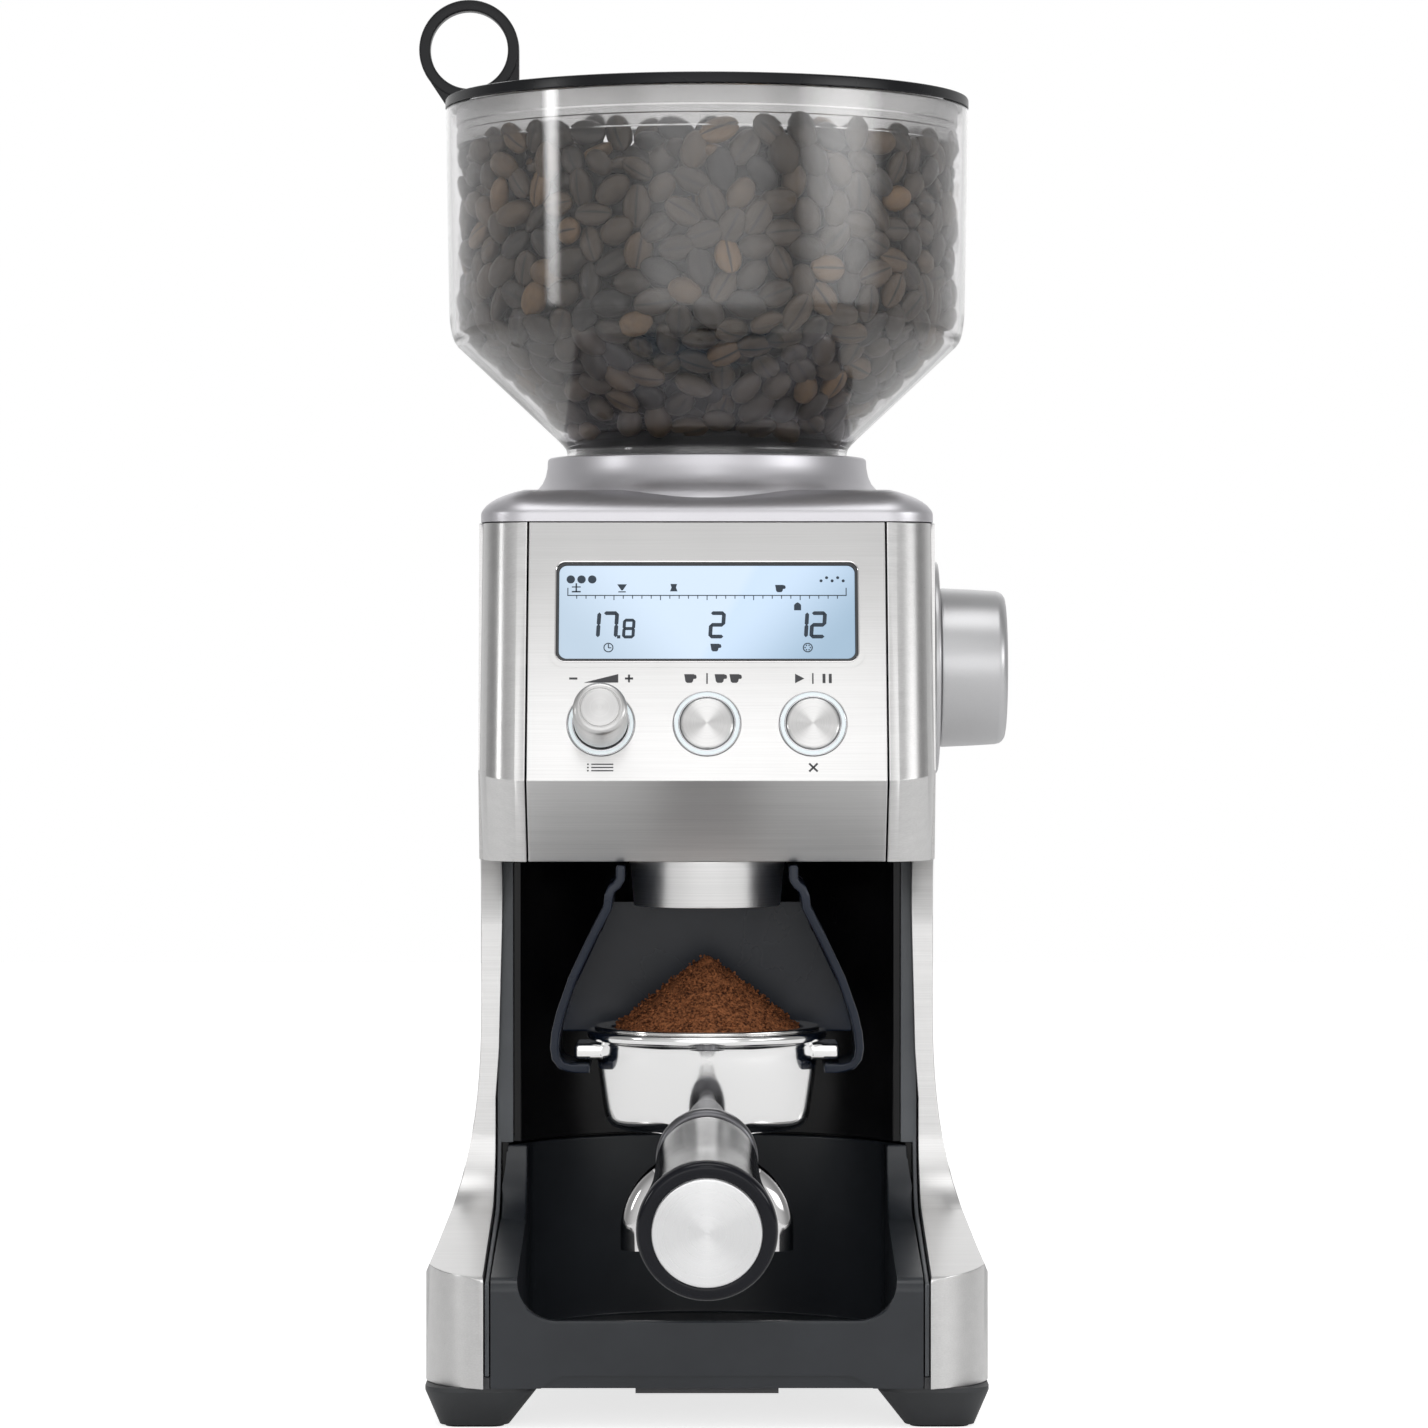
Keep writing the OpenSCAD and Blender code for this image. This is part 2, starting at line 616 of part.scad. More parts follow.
module display_frame() color("#2a2d31") in_row() on_panel(0, window_s, -3.4) difference() {
  linear_extrude(3.6) rounded(window_w + 4.6, window_h + 4.6, 3.8);
  translate([0, 0, -over]) linear_extrude(8) rounded(window_w, window_h, 2.2);
}
module display_window() color("lightblue", 0.6) in_row() on_panel(0, window_s, -2)
  linear_extrude(1.5) rounded(window_w - 0.2, window_h - 0.2, 2.1);
module display_module() color("#dfe6ec") in_row() on_panel(0, window_s, -9.5) {
  translate([-window_w / 2 - 1, -window_h / 2 - 1, 0]) cube([window_w + 2, window_h + 2, 5.6]);
  translate([-window_w / 2 + 1, -window_h / 2 + 1, 5.6]) cube([window_w - 2, window_h - 2, 1.6]);
}

board_h = -13;
board_t = 1.6;
module control_board() color("darkgreen") in_row() {
  difference() {
    on_panel(0, control_s, board_h) translate([-44, -10, 0]) cube([88, 23, board_t]);
    on_panel(-control_pitch, control_s, board_h - over) cylinder(r = 4, h = 6);
  }
  // key switches behind the two buttons
  for (k = [0, 1]) on_panel(k * control_pitch, control_s, board_h + board_t)
    translate([-3, -3, 0]) cube([6, 6, key_h]);
}
module encoder() color("silver") in_row() on_panel(-control_pitch, control_s, board_h + board_t) difference() {
  translate([-6, -6, 0]) cube([12, 12, 6]);
  translate([0, 0, -over]) cylinder(r = 3 + fit, h = 12);
}
module encoder_shaft() color("gainsboro") in_row() on_panel(-control_pitch, control_s, board_h - 2)
  cylinder(r = 3, h = 2 - board_h + 10);
module control_rings() color("gainsboro") in_row() for (k = [-1:1])
  on_panel(k * control_pitch, control_s, -1.6) tube(ring_r - 0.05, button_r + air, 2.2);
module amount_knob() color("silver") in_row() on_panel(-control_pitch, control_s, 0) difference() {
  rotate_extrude() polygon([
    [0, 0.4 + button_travel], [button_r + 0.1, 0.4 + button_travel], [button_r + 0.1, knob_out - 3.6],
    [button_r - 0.3, knob_out - 1.8], [button_r - 1.1, knob_out - 0.5], [button_r - 2.1, knob_out],
    [0, knob_out]]);
  cylinder(r = 3 + fit, h = 10.3);
}
key_h = 2.2;
module push_button() {
  stem_h = board_h + board_t + key_h + button_travel + air;
  translate([0, 0, -6]) cylinder(r = button_r, h = 6.8);
  translate([0, 0, stem_h]) cylinder(r = 2, h = -6 - stem_h);
}
module shots_button() color("silver") in_row() on_panel(0, control_s) push_button();
module start_button() color("silver") in_row() on_panel(control_pitch, control_s) push_button();

bezel_r = 30;
bezel_out = 1.6;
dial_bush_r = 9.4;
dial_shaft_r = 4;
module dial_bezel() color("silver") in_row() translate([0, 0, dial_z]) rotate([0, 90, 0]) difference() {
  union() {
    translate([0, 0, case_half_w]) cylinder(r = bezel_r, h = bezel_out);
    translate([0, 0, case_half_w - 8]) cylinder(r = dial_bush_r, h = 8);
  }
  translate([0, 0, 50]) cylinder(r = dial_shaft_r + fit, h = 30);
}
module size_dial() color("silver") in_row() translate([0, 0, dial_z]) rotate([0, 90, 0]) difference() {
  root_x = case_half_w + bezel_out + 0.4;
  rotate_extrude() polygon([
    [0, root_x], [dial_r, root_x], [dial_r - 0.9, dial_end_x - 2.4], [dial_r - 1.4, dial_end_x - 1],
    [dial_r - 2.6, dial_end_x - 0.2], [dial_r - 4, dial_end_x], [0, dial_end_x]]);
  translate([0, 0, root_x - over]) cylinder(r = dial_shaft_r, h = 13);
}
pinion_x = 46.3;
pinion_w = 2.4;
module dial_pinion_outline() {
  root = dial_pitch_r - 1.5;
  tip = dial_pitch_r + 1;
  // straight-sided teeth, narrower at the tip, turned so that one points up
  polygon([for (i = [0:dial_teeth - 1]) let (mid = 180 + i * 360 / dial_teeth) each
    [for (p = [[root, -13], [dial_pitch_r, -8.8], [tip, -4.5], [tip, 4.5], [dial_pitch_r, 8.8], [root, 13]])
      p[0] * [cos(mid + p[1]), sin(mid + p[1])]]]);
}
module dial_shaft() color("gainsboro") in_row() translate([0, 0, dial_z]) rotate([0, 90, 0]) {
  translate([0, 0, pinion_x]) linear_extrude(pinion_w) dial_pinion_outline();
  translate([0, 0, pinion_x + pinion_w]) cylinder(r = dial_shaft_r, h = case_half_w + 14 - pinion_x - pinion_w);
  translate([0, 0, chamber_r - 1.5]) cylinder(r = 2, h = pinion_x - chamber_r + 1.5);
}

// ---------------------------------------------------------------- burrs

crown_half = 0.27;
module adjusting_ring() color("goldenrod") in_row() {
  crown_root_z = crown_pitch_z + 1.5;
  // toothed skirt round the chamber, a sleeve up its outside, and a lip over its top
  rotate_extrude() polygon([
    [chamber_r + air, crown_root_z], [crown_r + 2, crown_root_z], [crown_r + 2, crown_root_z + 3],
    [chamber_r + air + 2, crown_root_z + 4.5], [chamber_r + air + 2, chamber_top_z + 2.6],
    [chamber_r - 6, chamber_top_z + 2.6], [chamber_r - 6, chamber_top_z + air],
    [chamber_r + air, chamber_top_z + air]]);
  for (i = [0:ring_teeth - 1]) rotate([0, 0, (i + 0.5) * 360 / ring_teeth])
    translate([crown_r - 2, 0, crown_root_z + 0.1]) rotate([90, 0, 90]) linear_extrude(4)
      polygon([[-1.35, 0], [-0.3, -2.3], [0.3, -2.3], [1.35, 0]]);
}

burr_low_z = 208;
burr_gap = 2.1;
module burr_carrier() color("dimgray") in_row() difference() {
  union() {
    translate([0, 0, burr_low_z + 2]) tube(chamber_r - 6, 29, chamber_top_z + 3.4 - burr_low_z - 2);
    // lands that ride in the chamber's wall
    for (a = [30, 150, 270]) rotate([0, 0, a]) translate([35.6, -3, burr_low_z + 2])
      cube([chamber_r - 3.5 - 35.6 - 0.35, 6, chamber_top_z - burr_low_z - 8]);
  }
}
module ring_burr() color("gainsboro") in_row() difference() {
  rotate_extrude() polygon([
    [20 + burr_gap, burr_low_z], [28.9, burr_low_z], [28.9, 232], [24.5, 232], [16.5 + burr_gap, 219]]);
  // grinding flutes
  for (i = [0:23]) rotate([0, 0, i * 15]) translate([18.4 + burr_gap, 0, burr_low_z - over])
    rotate([0, 0, 45]) cube([1.8, 1.8, 30], center = false);
}
module cone_burr() color("gainsboro") in_row() difference() {
  rotate_extrude() polygon([
    [burr_shaft_r, 206.5], [20, 206.5], [20, 209], [15.7, 219], [9, 238], [burr_shaft_r, 240]]);
  for (i = [0:15]) rotate([0, 0, i * 22.5]) translate([17.4, 0, 203]) rotate([0, -22, 0])
    rotate([0, 0, 45]) cube([2.6, 2.6, 40]);
}
module burr_shaft() color("silver") in_row() {
  translate([0, 0, gearbox_z + 1.2]) cylinder(r = burr_shaft_r, h = 244 - gearbox_z - 1.2);
  translate([0, 0, 240.1]) cylinder(r = 7, h = 4.6, $fn = 6);
}
module drive_gear() color("ivory") in_row() translate([0, 0, low_gear_z]) difference() {
  linear_extrude(gear_h) rotate(90) gear_outline(drive_teeth);
  translate([0, 0, -over]) cylinder(r = burr_shaft_r, h = gear_h + 2 * over);
}
module impeller() color("dimgray") in_row() difference() {
  union() {
    translate([0, 0, chamber_floor_z + 1]) cylinder(r = 20, h = 2.4);
    translate([0, 0, chamber_floor_z + 1]) cylinder(r = 9, h = 12.4);
    for (a = [0:90:270]) rotate([0, 0, a]) translate([8, -1.2, chamber_floor_z + 1]) cube([28.5, 2.4, 8]);
  }
  cylinder(r = burr_shaft_r, h = big);
}

exit_r = 8;
module grinding_chamber() color("#3c3d40") in_row() difference() {
  union() {
    translate([0, 0, chamber_floor_z - 3]) cylinder(r = chamber_r, h = chamber_top_z - chamber_floor_z + 3);
    translate([0, 0, gearbox_top_z + 0.1]) cylinder(r = 24, h = chamber_floor_z - gearbox_top_z - 2);
    // exit boss over the chute
    translate([0, outlet_y + 1.5, gearbox_top_z + 2]) cylinder(r = exit_r + 2, h = 16);
  }
  translate([0, 0, chamber_floor_z]) cylinder(r = chamber_r - 3.5, h = big);
  translate([0, 0, gearbox_top_z - over]) cylinder(r = 11, h = 9);
  translate([0, 0, gearbox_top_z - over]) cylinder(r = burr_shaft_r + 0.8, h = big);
  translate([0, outlet_y + 1.5, gearbox_top_z]) cylinder(r = exit_r, h = 15);
  // bearing hole of the dial shaft's inner end
  translate([chamber_r - 2, 0, dial_z]) rotate([0, 90, 0]) cylinder(r = 2 + fit, h = 10);
}
module grounds_chute() color("#3c3d40") in_row() translate([0, outlet_y + 1.5, belly_z - 4])
  tube(exit_r + 1.9, exit_r, gearbox_top_z + 1.9 - belly_z + 4);

// ---------------------------------------------------------------- drive

module gearbox_plan(grow = 0) {
  hull() {
    circle(pitch_r(drive_teeth) + 1.4 + grow);
    translate([0, idler_y]) circle(pitch_r(idler_large_teeth) + 1.4 + grow);
  }
  hull() {
    translate([0, idler_y]) circle(18 + grow);
    translate([0, motor_y]) circle(14 + grow);
  }
}
module gearbox_housing() color("#4a4c50") in_row() difference() {
  translate([0, 0, gearbox_z]) linear_extrude(gearbox_split_z - gearbox_z) gearbox_plan(2.2);
  translate([0, 0, gearbox_z + 3]) linear_extrude(big) gearbox_plan();
  translate([0, 0, gearbox_z - over]) cylinder(r = 6.5, h = 10);
  translate([0, idler_y, gearbox_z + 0.6]) cylinder(r = 3, h = 10);
  translate([0, motor_y, gearbox_z - over]) cylinder(r = 6, h = 10);
}
module gearbox_cover() color("#4a4c50") in_row() difference() {
  translate([0, 0, gearbox_split_z]) linear_extrude(gearbox_top_z - gearbox_split_z) gearbox_plan(2.2);
  translate([0, 0, gearbox_split_z - over]) cylinder(r = 8, h = 10);
  translate([0, idler_y, gearbox_split_z - over]) cylinder(r = 3, h = 3.4);
}
// Two bearings of the burr shaft, and the idler's fixed pin
module shaft_bearings() color("silver") in_row() {
  translate([0, 0, gearbox_z]) tube(6.5, burr_shaft_r + fit, 3);
  translate([0, 0, gearbox_split_z]) tube(8, burr_shaft_r + fit, 5);
  translate([0, idler_y, gearbox_z + 0.6]) cylinder(r = 3, h = gearbox_split_z - gearbox_z + 1.8);
}
module idler_gear() color("ivory") in_row() translate([0, idler_y, 0]) difference() {
  union() {
    translate([0, 0, low_gear_z - 0.5]) linear_extrude(gear_h + 1)
      rotate(-90 + 180 / idler_small_teeth) gear_outline(idler_small_teeth);
    translate([0, 0, high_gear_z]) linear_extrude(gear_h) rotate(90) gear_outline(idler_large_teeth);
    translate([0, 0, low_gear_z]) cylinder(r = 8, h = high_gear_z - low_gear_z + 1);
  }
  cylinder(r = 3 + fit, h = big);
}
module motor_pinion() color("gold") in_row() translate([0, motor_y, high_gear_z - 0.5]) difference() {
  linear_extrude(gear_h + 1) rotate(-90 + 180 / motor_teeth) gear_outline(motor_teeth);
  translate([0, 0, -over]) cylinder(r = 2.5, h = gear_h + 4);
}
motor_z = 62;
motor_top_z = 149;
module motor_shaft() color("silver") in_row() translate([0, motor_y, 0]) {
  translate([0, 0, motor_z - 6]) cylinder(r = 2.5, h = 175.6 - motor_z + 6);
  translate([0, 0, motor_z + 14]) cylinder(r = 22, h = 54);
  translate([0, 0, motor_top_z - 16]) cylinder(r = 10, h = 9);
}
module motor_case() color("slategray") in_row() translate([0, motor_y, 0]) difference() {
  translate([0, 0, motor_z]) cylinder(r = motor_r, h = motor_top_z - motor_z);
  translate([0, 0, motor_z + 3]) cylinder(r = 23, h = motor_top_z - motor_z - 6);
  translate([0, 0, motor_z - over]) cylinder(r = 2.5 + fit, h = big);
}
module motor_mounts() color("#151617") in_row() for (a = [45:90:315])
  translate([24 * cos(a), motor_y + 24 * sin(a), motor_top_z]) cylinder(r = 5, h = gearbox_z - motor_top_z);

module power_board() color("darkgreen") in_row() {
  translate([-42, 40, base_z + 13.1]) cube([84, 58, 1.6]);
  translate([-30, 52, base_z + 14.7]) cube([26, 20, 16]);
  translate([18, 66, base_z + 14.7]) cylinder(r = 9, h = 26);
  translate([8, 44, base_z + 14.7]) cube([24, 8, 14]);
}
module microswitches() color("#20242c") in_row() {
  translate([-10, 7.2, belly_z - 10.6]) cube([20, 6.4, 10]);
  translate([-52, 20, chamber_top_z - 14]) cube([6.4, 20, 10]);
}
module cord_gland() color("#151617") in_row() translate([gland_x, back_y + 2.5, gland_z])
  rotate([90, 0, 0]) difference() {
    union() {
      cylinder(r = 7.4, h = 12);
      cylinder(r = 10, h = 2.4);
      translate([0, 0, 3.9]) cylinder(r = 9.4, h = 2.5);
    }
    translate([0, 0, -over]) cylinder(r = gland_bore_r, h = 20);
  }
// A screw with its head's underside at the origin and its shank along +Z
module screw(l) {
  translate([0, 0, -1.1]) cylinder(r = 3, h = 1.1);
  cylinder(r = 1.6, h = l);
}
module case_screws() color("silver") in_row() {
  both_sides() for (z = flange_screw_z) translate([flange_screw_x, back_y, z]) rotate([90, 0, 0]) screw(8);
  for (p = foot_screws) translate([p[0], p[1], base_z + plate_t]) mirror([0, 0, 1]) screw(8);
}

// ---------------------------------------------------------------- hopper and lid

break_z = 297;
break_r = hopper_r - 1.2;
cone_low_z = 263.5;
cone_low_r = 41.5;
neck_low_z = 248;
module hopper() color("gainsboro", 0.4) in_row() rotate_extrude() polygon([
  [hopper_r, hopper_top_z], [break_r, break_z], [break_r - 1.4, break_z - 5.4],
  [cone_low_r, cone_low_z], [neck_r, cone_low_z - 2.6], [neck_r, neck_low_z],
  [neck_r - hopper_t, neck_low_z], [neck_r - hopper_t, cone_low_z - 1.6],
  [cone_low_r - hopper_t * 0.6, cone_low_z + 1.9], [break_r - 1.4 - hopper_t * 1.2, break_z - 3.8],
  [break_r - hopper_t, break_z + 0.8], [hopper_r - hopper_t, hopper_top_z]]);

base_insert_r = neck_r - hopper_t - 0.05;
gate_z = 249;
module gate_windows() for (a = [0, 180]) rotate([0, 0, a]) intersection() {
  tube(30, 12, 20);
  linear_extrude(20) polygon([[0, 0], [60, -34], [60, 34]]);
}
module hopper_base() color("#2a2c30") in_row() difference() {
  union() {
    translate([0, 0, gate_z]) cylinder(r = base_insert_r, h = 2.4);
    translate([0, 0, gate_z]) tube(base_insert_r, base_insert_r - 2.6, 17);
  }
  translate([0, 0, gate_z - 5]) gate_windows();
  translate([0, 0, gate_z - over]) cylinder(r = 4 + fit, h = 10);
}
module hopper_lock() color("#2a2c30") in_row() {
  difference() {
    translate([0, 0, gate_z + 2.8]) cylinder(r = 32, h = 1.8);
    translate([0, 0, gate_z - 5]) gate_windows();
  }
  translate([0, 0, gate_z - 0.4]) cylinder(r = 4, h = 40);
  translate([0, 0, gate_z + 30]) cylinder(r = 13, h = 5);
  translate([-20, -2.5, gate_z + 32]) cube([40, 5, 14]);
}

lid_t = 3;
lid_z = hopper_top_z + 0.1;
pull_x = -67;
pull_z = 374;
pull_w = 5;
module lid() color("dimgray", 0.8) in_row() difference() {
  union() {
    translate([0, 0, lid_z]) cylinder(r = hopper_r, h = lid_t);
    translate([pull_x, 0, pull_z]) rotate([90, 0, 0]) cylinder(r = pull_r, h = pull_w, center = true);
    // foot of the pull ring, flush with the lid's edge
    translate([0, pull_w / 2, 0]) rotate([90, 0, 0]) linear_extrude(pull_w) polygon([
      [pull_x - 12, pull_z - 7.4], [-hopper_r + 0.4, lid_z + 1], [pull_x + pull_r, lid_z + 1],
      [pull_x + pull_r, pull_z], [pull_x - 12, pull_z]]);
  }
  translate([pull_x, 0, pull_z]) rotate([90, 0, 0]) cylinder(r = pull_hole_r, h = 20, center = true);
}
module lid_seal() color("gainsboro", 0.7) in_row() translate([0, 0, lid_z - 11])
  tube(hopper_r - hopper_t - 0.9, hopper_r - hopper_t - 3.4, 11);

// ---------------------------------------------------------------- filter holder

body_r = 30.2;
body_low_r = 28.3;
body_z = 73.5;
// Outer end and underside of the ears
ear_x = 36.3;
ear_z = 92.9;
// The bowl's outside from its underside to its rim, in (radius, Z)
function bowl_side(grow = 0) = [
  [0, body_z - grow], [body_low_r - 4.4, body_z - grow], [body_low_r - 1.6 + grow, body_z + 1.3],
  [body_low_r + grow, body_z + 4.4], [body_r + grow, rim_z - 9], [body_r + grow, rim_z - 3.4]];
module filter_holder() color("silver") in_row() translate([0, outlet_y, 0]) difference() {
  union() {
    rotate_extrude() polygon(concat(bowl_side(), [[rim_r, rim_z - 2.8], [rim_r, rim_z], [0, rim_z]]));
    // ears that hang on the cradle's hooks
    both_sides() translate([body_r - 3, -9, ear_z]) cube([ear_x - body_r + 3, 18, 4.4]);
  }
  translate([0, 0, body_z + 3]) cylinder(r = 24.5, h = big);
  translate([0, 0, rim_z - 22]) cylinder(r = 26.9, h = big);
  translate([0, 0, body_z - over]) cylinder(r = 4, h = 10);
}
module filter_basket() color("gainsboro") in_row() translate([0, outlet_y, 0]) difference() {
  union() {
    translate([0, 0, rim_z + 0.05]) cylinder(r = 31, h = 1);
    translate([0, 0, rim_z - 20]) cylinder(r = 26.7, h = 20.1);
  }
  translate([0, 0, rim_z - 19]) cylinder(r = 25.9, h = big);
}
// Arch of the twin spout: bend radius and depth of its crown below the body
elbow_r = 16;
spout_r = 5.5;
crown_depth = 12;
spout_boss_r = 9;
module spout_path(r) both_sides() {
  translate([spout_x, 0, spout_z]) cylinder(r = r, h = body_z - crown_depth - elbow_r - spout_z);
  translate([spout_x - elbow_r, 0, body_z - crown_depth - elbow_r]) rotate([90, 0, 0])
    rotate_extrude(angle = 90) translate([elbow_r, 0]) circle(r);
  translate([-over, 0, body_z - crown_depth]) rotate([0, 90, 0]) cylinder(r = r, h = spout_x - elbow_r + over);
}
module holder_spouts() color("silver") in_row() translate([0, outlet_y, 0]) difference() {
  union() {
    spout_path(spout_r);
    translate([0, 0, body_z - crown_depth - 3.5]) cylinder(r = spout_boss_r, h = crown_depth + 3.45);
  }
  spout_path(spout_r - 1.4);
  translate([0, 0, body_z - crown_depth]) cylinder(r = 4, h = 20);
}
// The handle's own axis: +Z runs from the ferrule to the handle's end
module on_handle(l) translate([0, ferrule_y, ferrule_z]) rotate([90 + handle_drop, 0, 0])
  translate([0, 0, l]) children();
module handle_ferrule() color("silver") in_row() difference() {
  union() {
    on_handle(-3) rotate_extrude() polygon([
      [0, 0], [9, 0], [12, 1], [13.6, 3], [13.6, 8], [13.1, 9], [0, 9]]);
    // neck that drops from the body
    translate([0, -62, 80.8]) rotate([90 + 19, 0, 0]) cylinder(r1 = 4.2, r2 = 7.4, h = 30);
  }
  translate([0, outlet_y, 0]) rotate_extrude() polygon(concat(bowl_side(0.05), [[0, rim_z - 3.4]]));
  on_handle(6) cylinder(r = 20, h = 20);
}
module handle_grip() color("#17181a") in_row() on_handle(6.1) rotate_extrude() polygon([
  [0, 0], [12.6, 0], [13.4, 4], [13.6, 20], [15, 48], [16.6, 68], [handle_r - 0.2, grip_l - 4],
  [handle_r, grip_l - 1.4], [handle_r - 1, grip_l], [0, grip_l]]);
module handle_end() color("silver") in_row() on_handle(6.1 + grip_l + 0.05) rotate_extrude() polygon([
  [0, 0], [13.8, 0], [13.8, 0.6], [13.2, 1.1], [0, 1.4]]);

left_side_panel();
right_side_panel();
front_panel();
top_cap();
rear_cover();
base_plate();
feet();
foot_pads();
recess_liner();
recess_trims();
display_frame();
display_window();
display_module();
control_board();
power_board();
control_rings();
dial_bezel();
motor_case();
motor_mounts();
gearbox_housing();
gearbox_cover();
shaft_bearings();
grinding_chamber();
grounds_chute();
outlet_collar();
microswitches();
cord_gland();
case_screws();
encoder();
encoder_shaft();
amount_knob();
shots_button();
start_button();
size_dial();
dial_shaft();
adjusting_ring();
burr_carrier();
ring_burr();
cone_burr();
burr_shaft();
drive_gear();
impeller();
idler_gear();
motor_shaft();
motor_pinion();
hopper();
hopper_base();
hopper_lock();
lid();
lid_seal();
drip_tray();
cradle();
start_paddle();
paddle_pin();
filter_holder();
filter_basket();
holder_spouts();
handle_ferrule();
handle_grip();
handle_end();
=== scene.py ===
# %% [markdown]
# # A burr coffee grinder in Blender
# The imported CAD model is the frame: it says where every piece is and which body it moves with. This script
# gives that frame its looks. Shapes that the CAD already draws well keep their mesh and get a finish; where
# a soft curve, a rolled rim or a fine detail matters, a new piece stands in the CAD node's place.

# %% Load the frame
import random
from math import atan2, cos, hypot, pi, radians, sin, tau

import bmesh
import bpy
import numpy as np
from mathutils import Matrix, Vector, noise


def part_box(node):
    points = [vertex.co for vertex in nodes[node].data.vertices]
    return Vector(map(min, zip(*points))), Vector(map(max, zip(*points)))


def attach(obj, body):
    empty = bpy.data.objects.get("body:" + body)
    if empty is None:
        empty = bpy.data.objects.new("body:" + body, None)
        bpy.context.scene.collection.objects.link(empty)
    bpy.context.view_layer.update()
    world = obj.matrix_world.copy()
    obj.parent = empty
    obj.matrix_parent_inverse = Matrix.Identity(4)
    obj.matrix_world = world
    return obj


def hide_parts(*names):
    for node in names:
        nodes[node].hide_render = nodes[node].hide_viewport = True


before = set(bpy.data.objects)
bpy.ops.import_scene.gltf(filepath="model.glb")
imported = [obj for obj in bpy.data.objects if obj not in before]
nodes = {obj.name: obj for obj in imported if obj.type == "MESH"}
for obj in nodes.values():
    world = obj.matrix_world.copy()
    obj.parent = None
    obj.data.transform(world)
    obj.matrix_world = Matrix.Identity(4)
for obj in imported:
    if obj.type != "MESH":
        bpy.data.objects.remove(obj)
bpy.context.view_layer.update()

# %% [markdown]
# Everything stands on one axis, the burr axis, and much of the front lies on the tilted control panel. Both
# get a matrix of their own, so that a piece can be drawn in plain millimetres about its own origin and then
# be put in place. The burr axis is read from the hopper, which is round about it. Heights are drawn from a
# level that the feet's soles reach below, so the axis is raised by that depth. The outlet, the filter holder
# with its handle, and the size dial have axes of their own.

# %% Placing matrices
MM = 0.001


def middle(node):
    """The centre of a CAD node's box."""
    low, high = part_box(node)
    return (low + high) / 2


def shift(x, y, z):
    """A move by millimetres."""
    return Matrix.Translation((x * MM, y * MM, z * MM))


BURR_Y = middle("hopper").y
STAND_H = 0.0022
BURR = Matrix.Translation((0, BURR_Y, STAND_H))
CREASE_Y, CREASE_Z = -77.5, 170
PANEL_BACK, PANEL_RISE = 22.5, 69.7
PANEL_TILT = atan2(PANEL_BACK, PANEL_RISE)
PANEL = BURR @ shift(0, CREASE_Y, CREASE_Z) @ Matrix.Rotation(pi / 2 - PANEL_TILT, 4, "X")
OUTLET_Y = -39
HOLDER = BURR @ shift(0, OUTLET_Y, 0)
DIAL_Z = 200
DIAL = BURR @ shift(0, 0, DIAL_Z) @ Matrix.Rotation(pi / 2, 4, "Y")
FERRULE_Y, FERRULE_Z, HANDLE_DROP = -92, 70.1, 6.1
HANDLE = BURR @ shift(0, FERRULE_Y, FERRULE_Z) @ Matrix.Rotation(radians(90 + HANDLE_DROP), 4, "X")
GRIP = HANDLE @ shift(0, 0, 6.1)
print("burr axis at y =", round(BURR_Y, 4))

# %% [markdown]
# The camera comes first, so that every later choice is judged from it. A long lens, far away, keeps the
# object's uprights upright. It stands at the height of the control panel and looks very slightly down.

# %% Camera
CAMERA_DISTANCE = 1.470
CAMERA_HEIGHT = 0.2072
CAMERA_DIP = 0.705
CAMERA_TURN = -0.077
camera_data = bpy.data.cameras.new("camera")
camera_data.sensor_width = 36
camera_data.lens = 131.2
camera = bpy.data.objects.new("camera", camera_data)
camera.location = (0, BURR_Y - CAMERA_DISTANCE, CAMERA_HEIGHT)
camera.rotation_euler = (radians(90 - CAMERA_DIP), 0, radians(CAMERA_TURN))
bpy.context.scene.collection.objects.link(camera)
bpy.context.scene.camera = camera
print("camera:", [round(v, 4) for v in camera.location])

# %% [markdown]
# Lights, world and materials are all drawn with nodes, and a few helpers keep that short. `add` makes a node
# and sets and links its sockets, `maths`, `times` and `plus` join two values, `steady` sets what is the same
# all over a surface, `mottled` is plain noise, and `eased` goes smoothly from one value to another.

# %% Node helpers
def add(tree, kind, options=None, values=None, **links):
    """Adds a node, sets its options and socket values, and links sockets by name, or by number as i0."""
    made = tree.nodes.new("ShaderNode" + kind)
    for key, value in (options or {}).items():
        setattr(made, key, value)
    for key, value in (values or {}).items():
        made.inputs[key].default_value = value
    for key, source in links.items():
        slot = int(key[1:]) if key[1:].isdigit() else key.replace("_", " ")
        tree.links.new(source, made.inputs[slot])
    return made


def maths(tree, operation, a, b=0.0, clamped=False):
    """A Math node on two sockets or numbers."""
    made = add(tree, "Math", {"operation": operation, "use_clamp": clamped})
    for index, value in enumerate((a, b)):
        if isinstance(value, (int, float)):
            made.inputs[index].default_value = value
        else:
            tree.links.new(value, made.inputs[index])
    return made.outputs[0]


def times(tree, a, b, clamped=False):
    return maths(tree, "MULTIPLY", a, b, clamped)


def plus(tree, a, b):
    return maths(tree, "ADD", a, b)


def steady(shader, **values):
    """Sets the sockets of a shader that are the same all over the surface."""
    for key, value in values.items():
        shader.inputs[key.replace("_", " ")].default_value = value


def mottled(tree, where, scale, detail, **more):
    """Noise of a scale and a depth of detail, as a mask."""
    return add(tree, "TexNoise", values={"Scale": scale, "Detail": detail, **more}, Vector=where).outputs[0]


def eased(tree, value, start, end, low, high):
    """Goes smoothly from low to high while value goes from start to end."""
    ends = {"From Min": start, "From Max": end, "To Min": low, "To Max": high}
    return add(tree, "MapRange", {"interpolation_type": "SMOOTHSTEP"}, ends, Value=value).outputs[0]


print("node helpers:", [f.__name__ for f in (add, maths, times, plus, steady, mottled, eased)])

